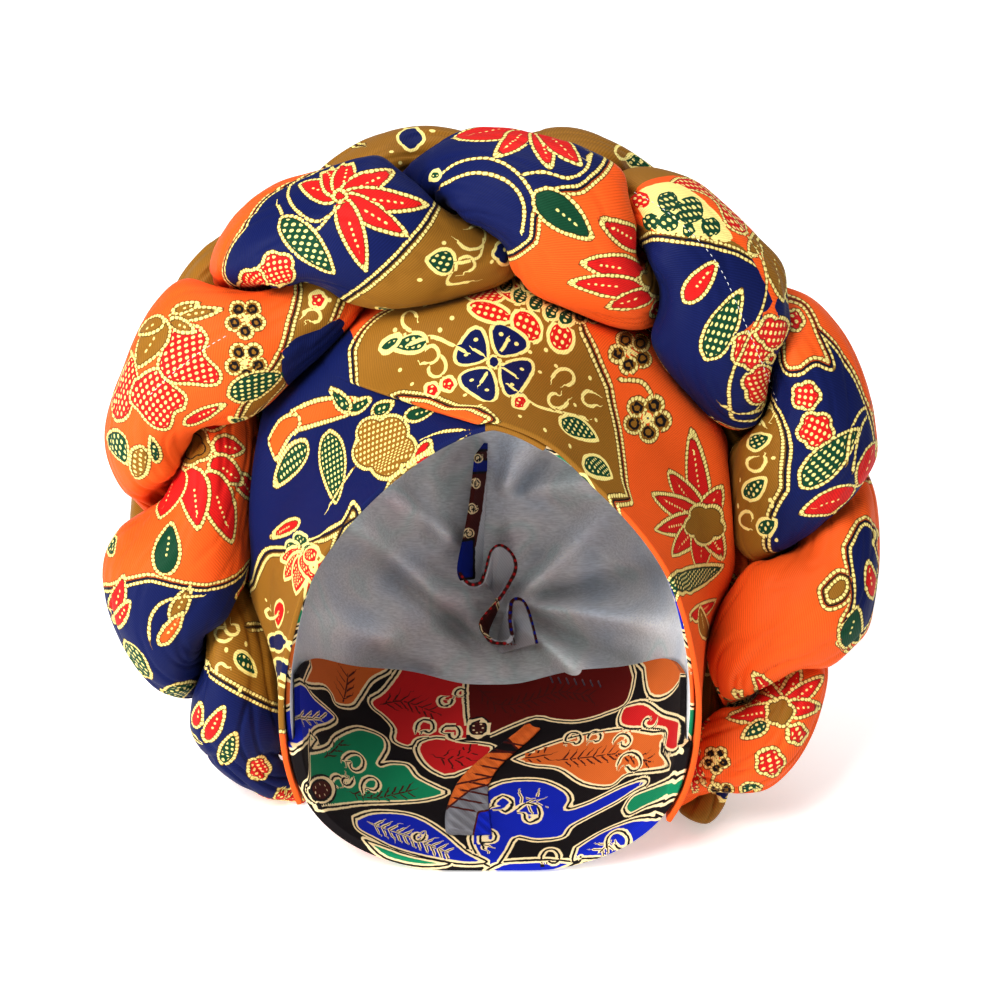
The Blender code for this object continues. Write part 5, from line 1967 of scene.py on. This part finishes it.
def build_band(name, print_of):
    """A front band, met by the strands, with its print."""
    piece = cap_piece(name, 3)
    spread_to_plait(piece)
    return lay_print(name, piece, cap_cloth(piece, -90.0), print_of, BRIGHT_PRINT)


strands = [build_strand("strand_1", 3, print_strand_1), build_strand("strand_2", 5, print_strand_2),
           build_strand("strand_3", 9, print_strand_3)]
band_left_cloth, band_left = build_band("band_left", print_band_left)
band_right_cloth, band_right = build_band("band_right", print_band_right)
facing = cap_piece("nape_facing", 3)
facing_cloth, _ = lay_print("nape_facing", facing, cap_cloth(facing, -270.0), print_facing,
                            DARK_PRINT)
gather = cap_piece("nape_gather", 3)
gather_points = mesh_points(gather.data)
run = (to_pixels(gather_points) - np.array(GATHER_TOP)) @ GATHER_ALONG
ribs = RIB_HEIGHT * np.cos(2.0 * math.pi * run / RIB_PITCH)
move_points(gather, gather_points + ribs[:, None] * np.array(BACKWARD))
lay_print("nape_gather", gather, small_cloth(gather), print_gather, DARK_PRINT)

crown = cap_piece("crown", 2)
crown_points, crown_quads = mesh_arrays(crown.data)
crown_cloth = cap_cloth(crown, -90.0)
write_print(crown.data, crown_cloth, print_cloth(crown_cloth, print_crown(crown_cloth)))
finish_piece(crown, [DARK_PRINT, LINING], ["crown"])
middles = crown_points[crown_quads].mean(axis=1)
normals = np.zeros(len(crown.data.polygons) * 3)
crown.data.polygons.foreach_get("normal", normals)
hollow_middle = np.array([MIDDLE_X, edge_y + HOLLOW_DEPTH, AXIS_HEIGHT])
inward = np.sum(normals.reshape(-1, 3) * (hollow_middle - middles), axis=1)
crown.data.polygons.foreach_set("material_index", (inward > 0.0).astype(np.int32))
crease_lining(crown, LINING_SLOT, 3)

frill = cap_piece("crown_seam_frill", 3, rim=0.0004)
lay_print("crown_seam_frill", frill, small_cloth(frill), print_frill, DARK_PRINT)
push_out(frill)

strand_cloths = [cloth for cloth, _ in strands]
build_stitches("seam_stitches", strand_cloths,
               [pair for line, pitch in SEAMS for pair in dashes(line, SEAM_STITCH, pitch)], SEAM_THREAD,
               WHITE_THREAD)
build_stitches("overlock_stitches", [facing_cloth],
               [((x, 669 + OVERLOCK_SLOPE * (x - 470)), (x + 3, 676 + OVERLOCK_SLOPE * (x - 470)))
                for x in range(470, 606, 8)], OVERLOCK_THREAD, DARK_THREAD)


# ---------------------------------------------------------------- stage, light and camera

FLOOR_HALF = 14.0
FLOOR_GLOW = 0.42
WORLD_LIGHT = 0.21
VIEW_GAMMA = 0.88

floor_mesh = bpy.data.meshes.new("floor")
floor_mesh.from_pydata([(x * FLOOR_HALF, y * FLOOR_HALF, 0.0) for x,
                        y in ((-1, -1), (1, -1), (1, 1), (-1, 1))],
                       [], [(0, 1, 2, 3)])
floor = bpy.data.objects.new("floor", floor_mesh)
bpy.context.scene.collection.objects.link(floor)
floor_material, _, floor_shader = fresh_material("pale floor")
floor_shader.inputs["Base Color"].default_value = (0.93, 0.93, 0.93, 1.0)
floor_shader.inputs["Roughness"].default_value = 0.9
floor_shader.inputs["Emission Color"].default_value = (1.0, 1.0, 1.0, 1.0)
floor_shader.inputs["Emission Strength"].default_value = FLOOR_GLOW
floor_mesh.materials.append(floor_material)


def area_light(name, place, size, power, colour=(1.0, 1.0, 1.0)):
    """A soft square light that faces the cap."""
    data = bpy.data.lights.new(name, "AREA")
    data.size = size
    data.energy = power
    data.color = colour
    lamp = bpy.data.objects.new(name, data)
    lamp.location = place
    lamp.rotation_euler = (TARGET - Vector(place)).to_track_quat("-Z", "Y").to_euler()
    bpy.context.scene.collection.objects.link(lamp)


area_light("key", (-0.45, -0.75, 1.15), 0.5, 16.0, (1.0, 0.985, 0.96))
area_light("fill", (0.9, -0.9, 0.7), 1.0, 2.5, (0.97, 0.985, 1.0))
area_light("low", (-1.15, -0.85, 0.36), 0.3, 13.0, (1.0, 0.99, 0.97))
area_light("top", (0.1, 0.5, 1.3), 1.0, 10.0)

world = bpy.data.worlds.new("studio")
world.use_nodes = True
world.node_tree.nodes["Background"].inputs["Color"].default_value = (1.0, 1.0, 1.0, 1.0)
world.node_tree.nodes["Background"].inputs["Strength"].default_value = WORLD_LIGHT
bpy.context.scene.world = world
bpy.context.scene.view_settings.view_transform = "Standard"
bpy.context.scene.view_settings.gamma = VIEW_GAMMA

lens = bpy.data.cameras.new("camera")
lens.sensor_width = SENSOR
lens.lens = SENSOR * VIEW_DISTANCE * PIXELS_PER_METRE / PICTURE_SIZE
lens.shift_x = (PICTURE_SIZE / 2 - MIDDLE_PIXEL[0]) / PICTURE_SIZE
lens.shift_y = (MIDDLE_PIXEL[1] - PICTURE_SIZE / 2) / PICTURE_SIZE
camera = bpy.data.objects.new("camera", lens)
camera.location = EYE
camera.rotation_euler = (-BACKWARD).to_track_quat("-Z", "Y").to_euler()
bpy.context.scene.collection.objects.link(camera)
bpy.context.scene.camera = camera
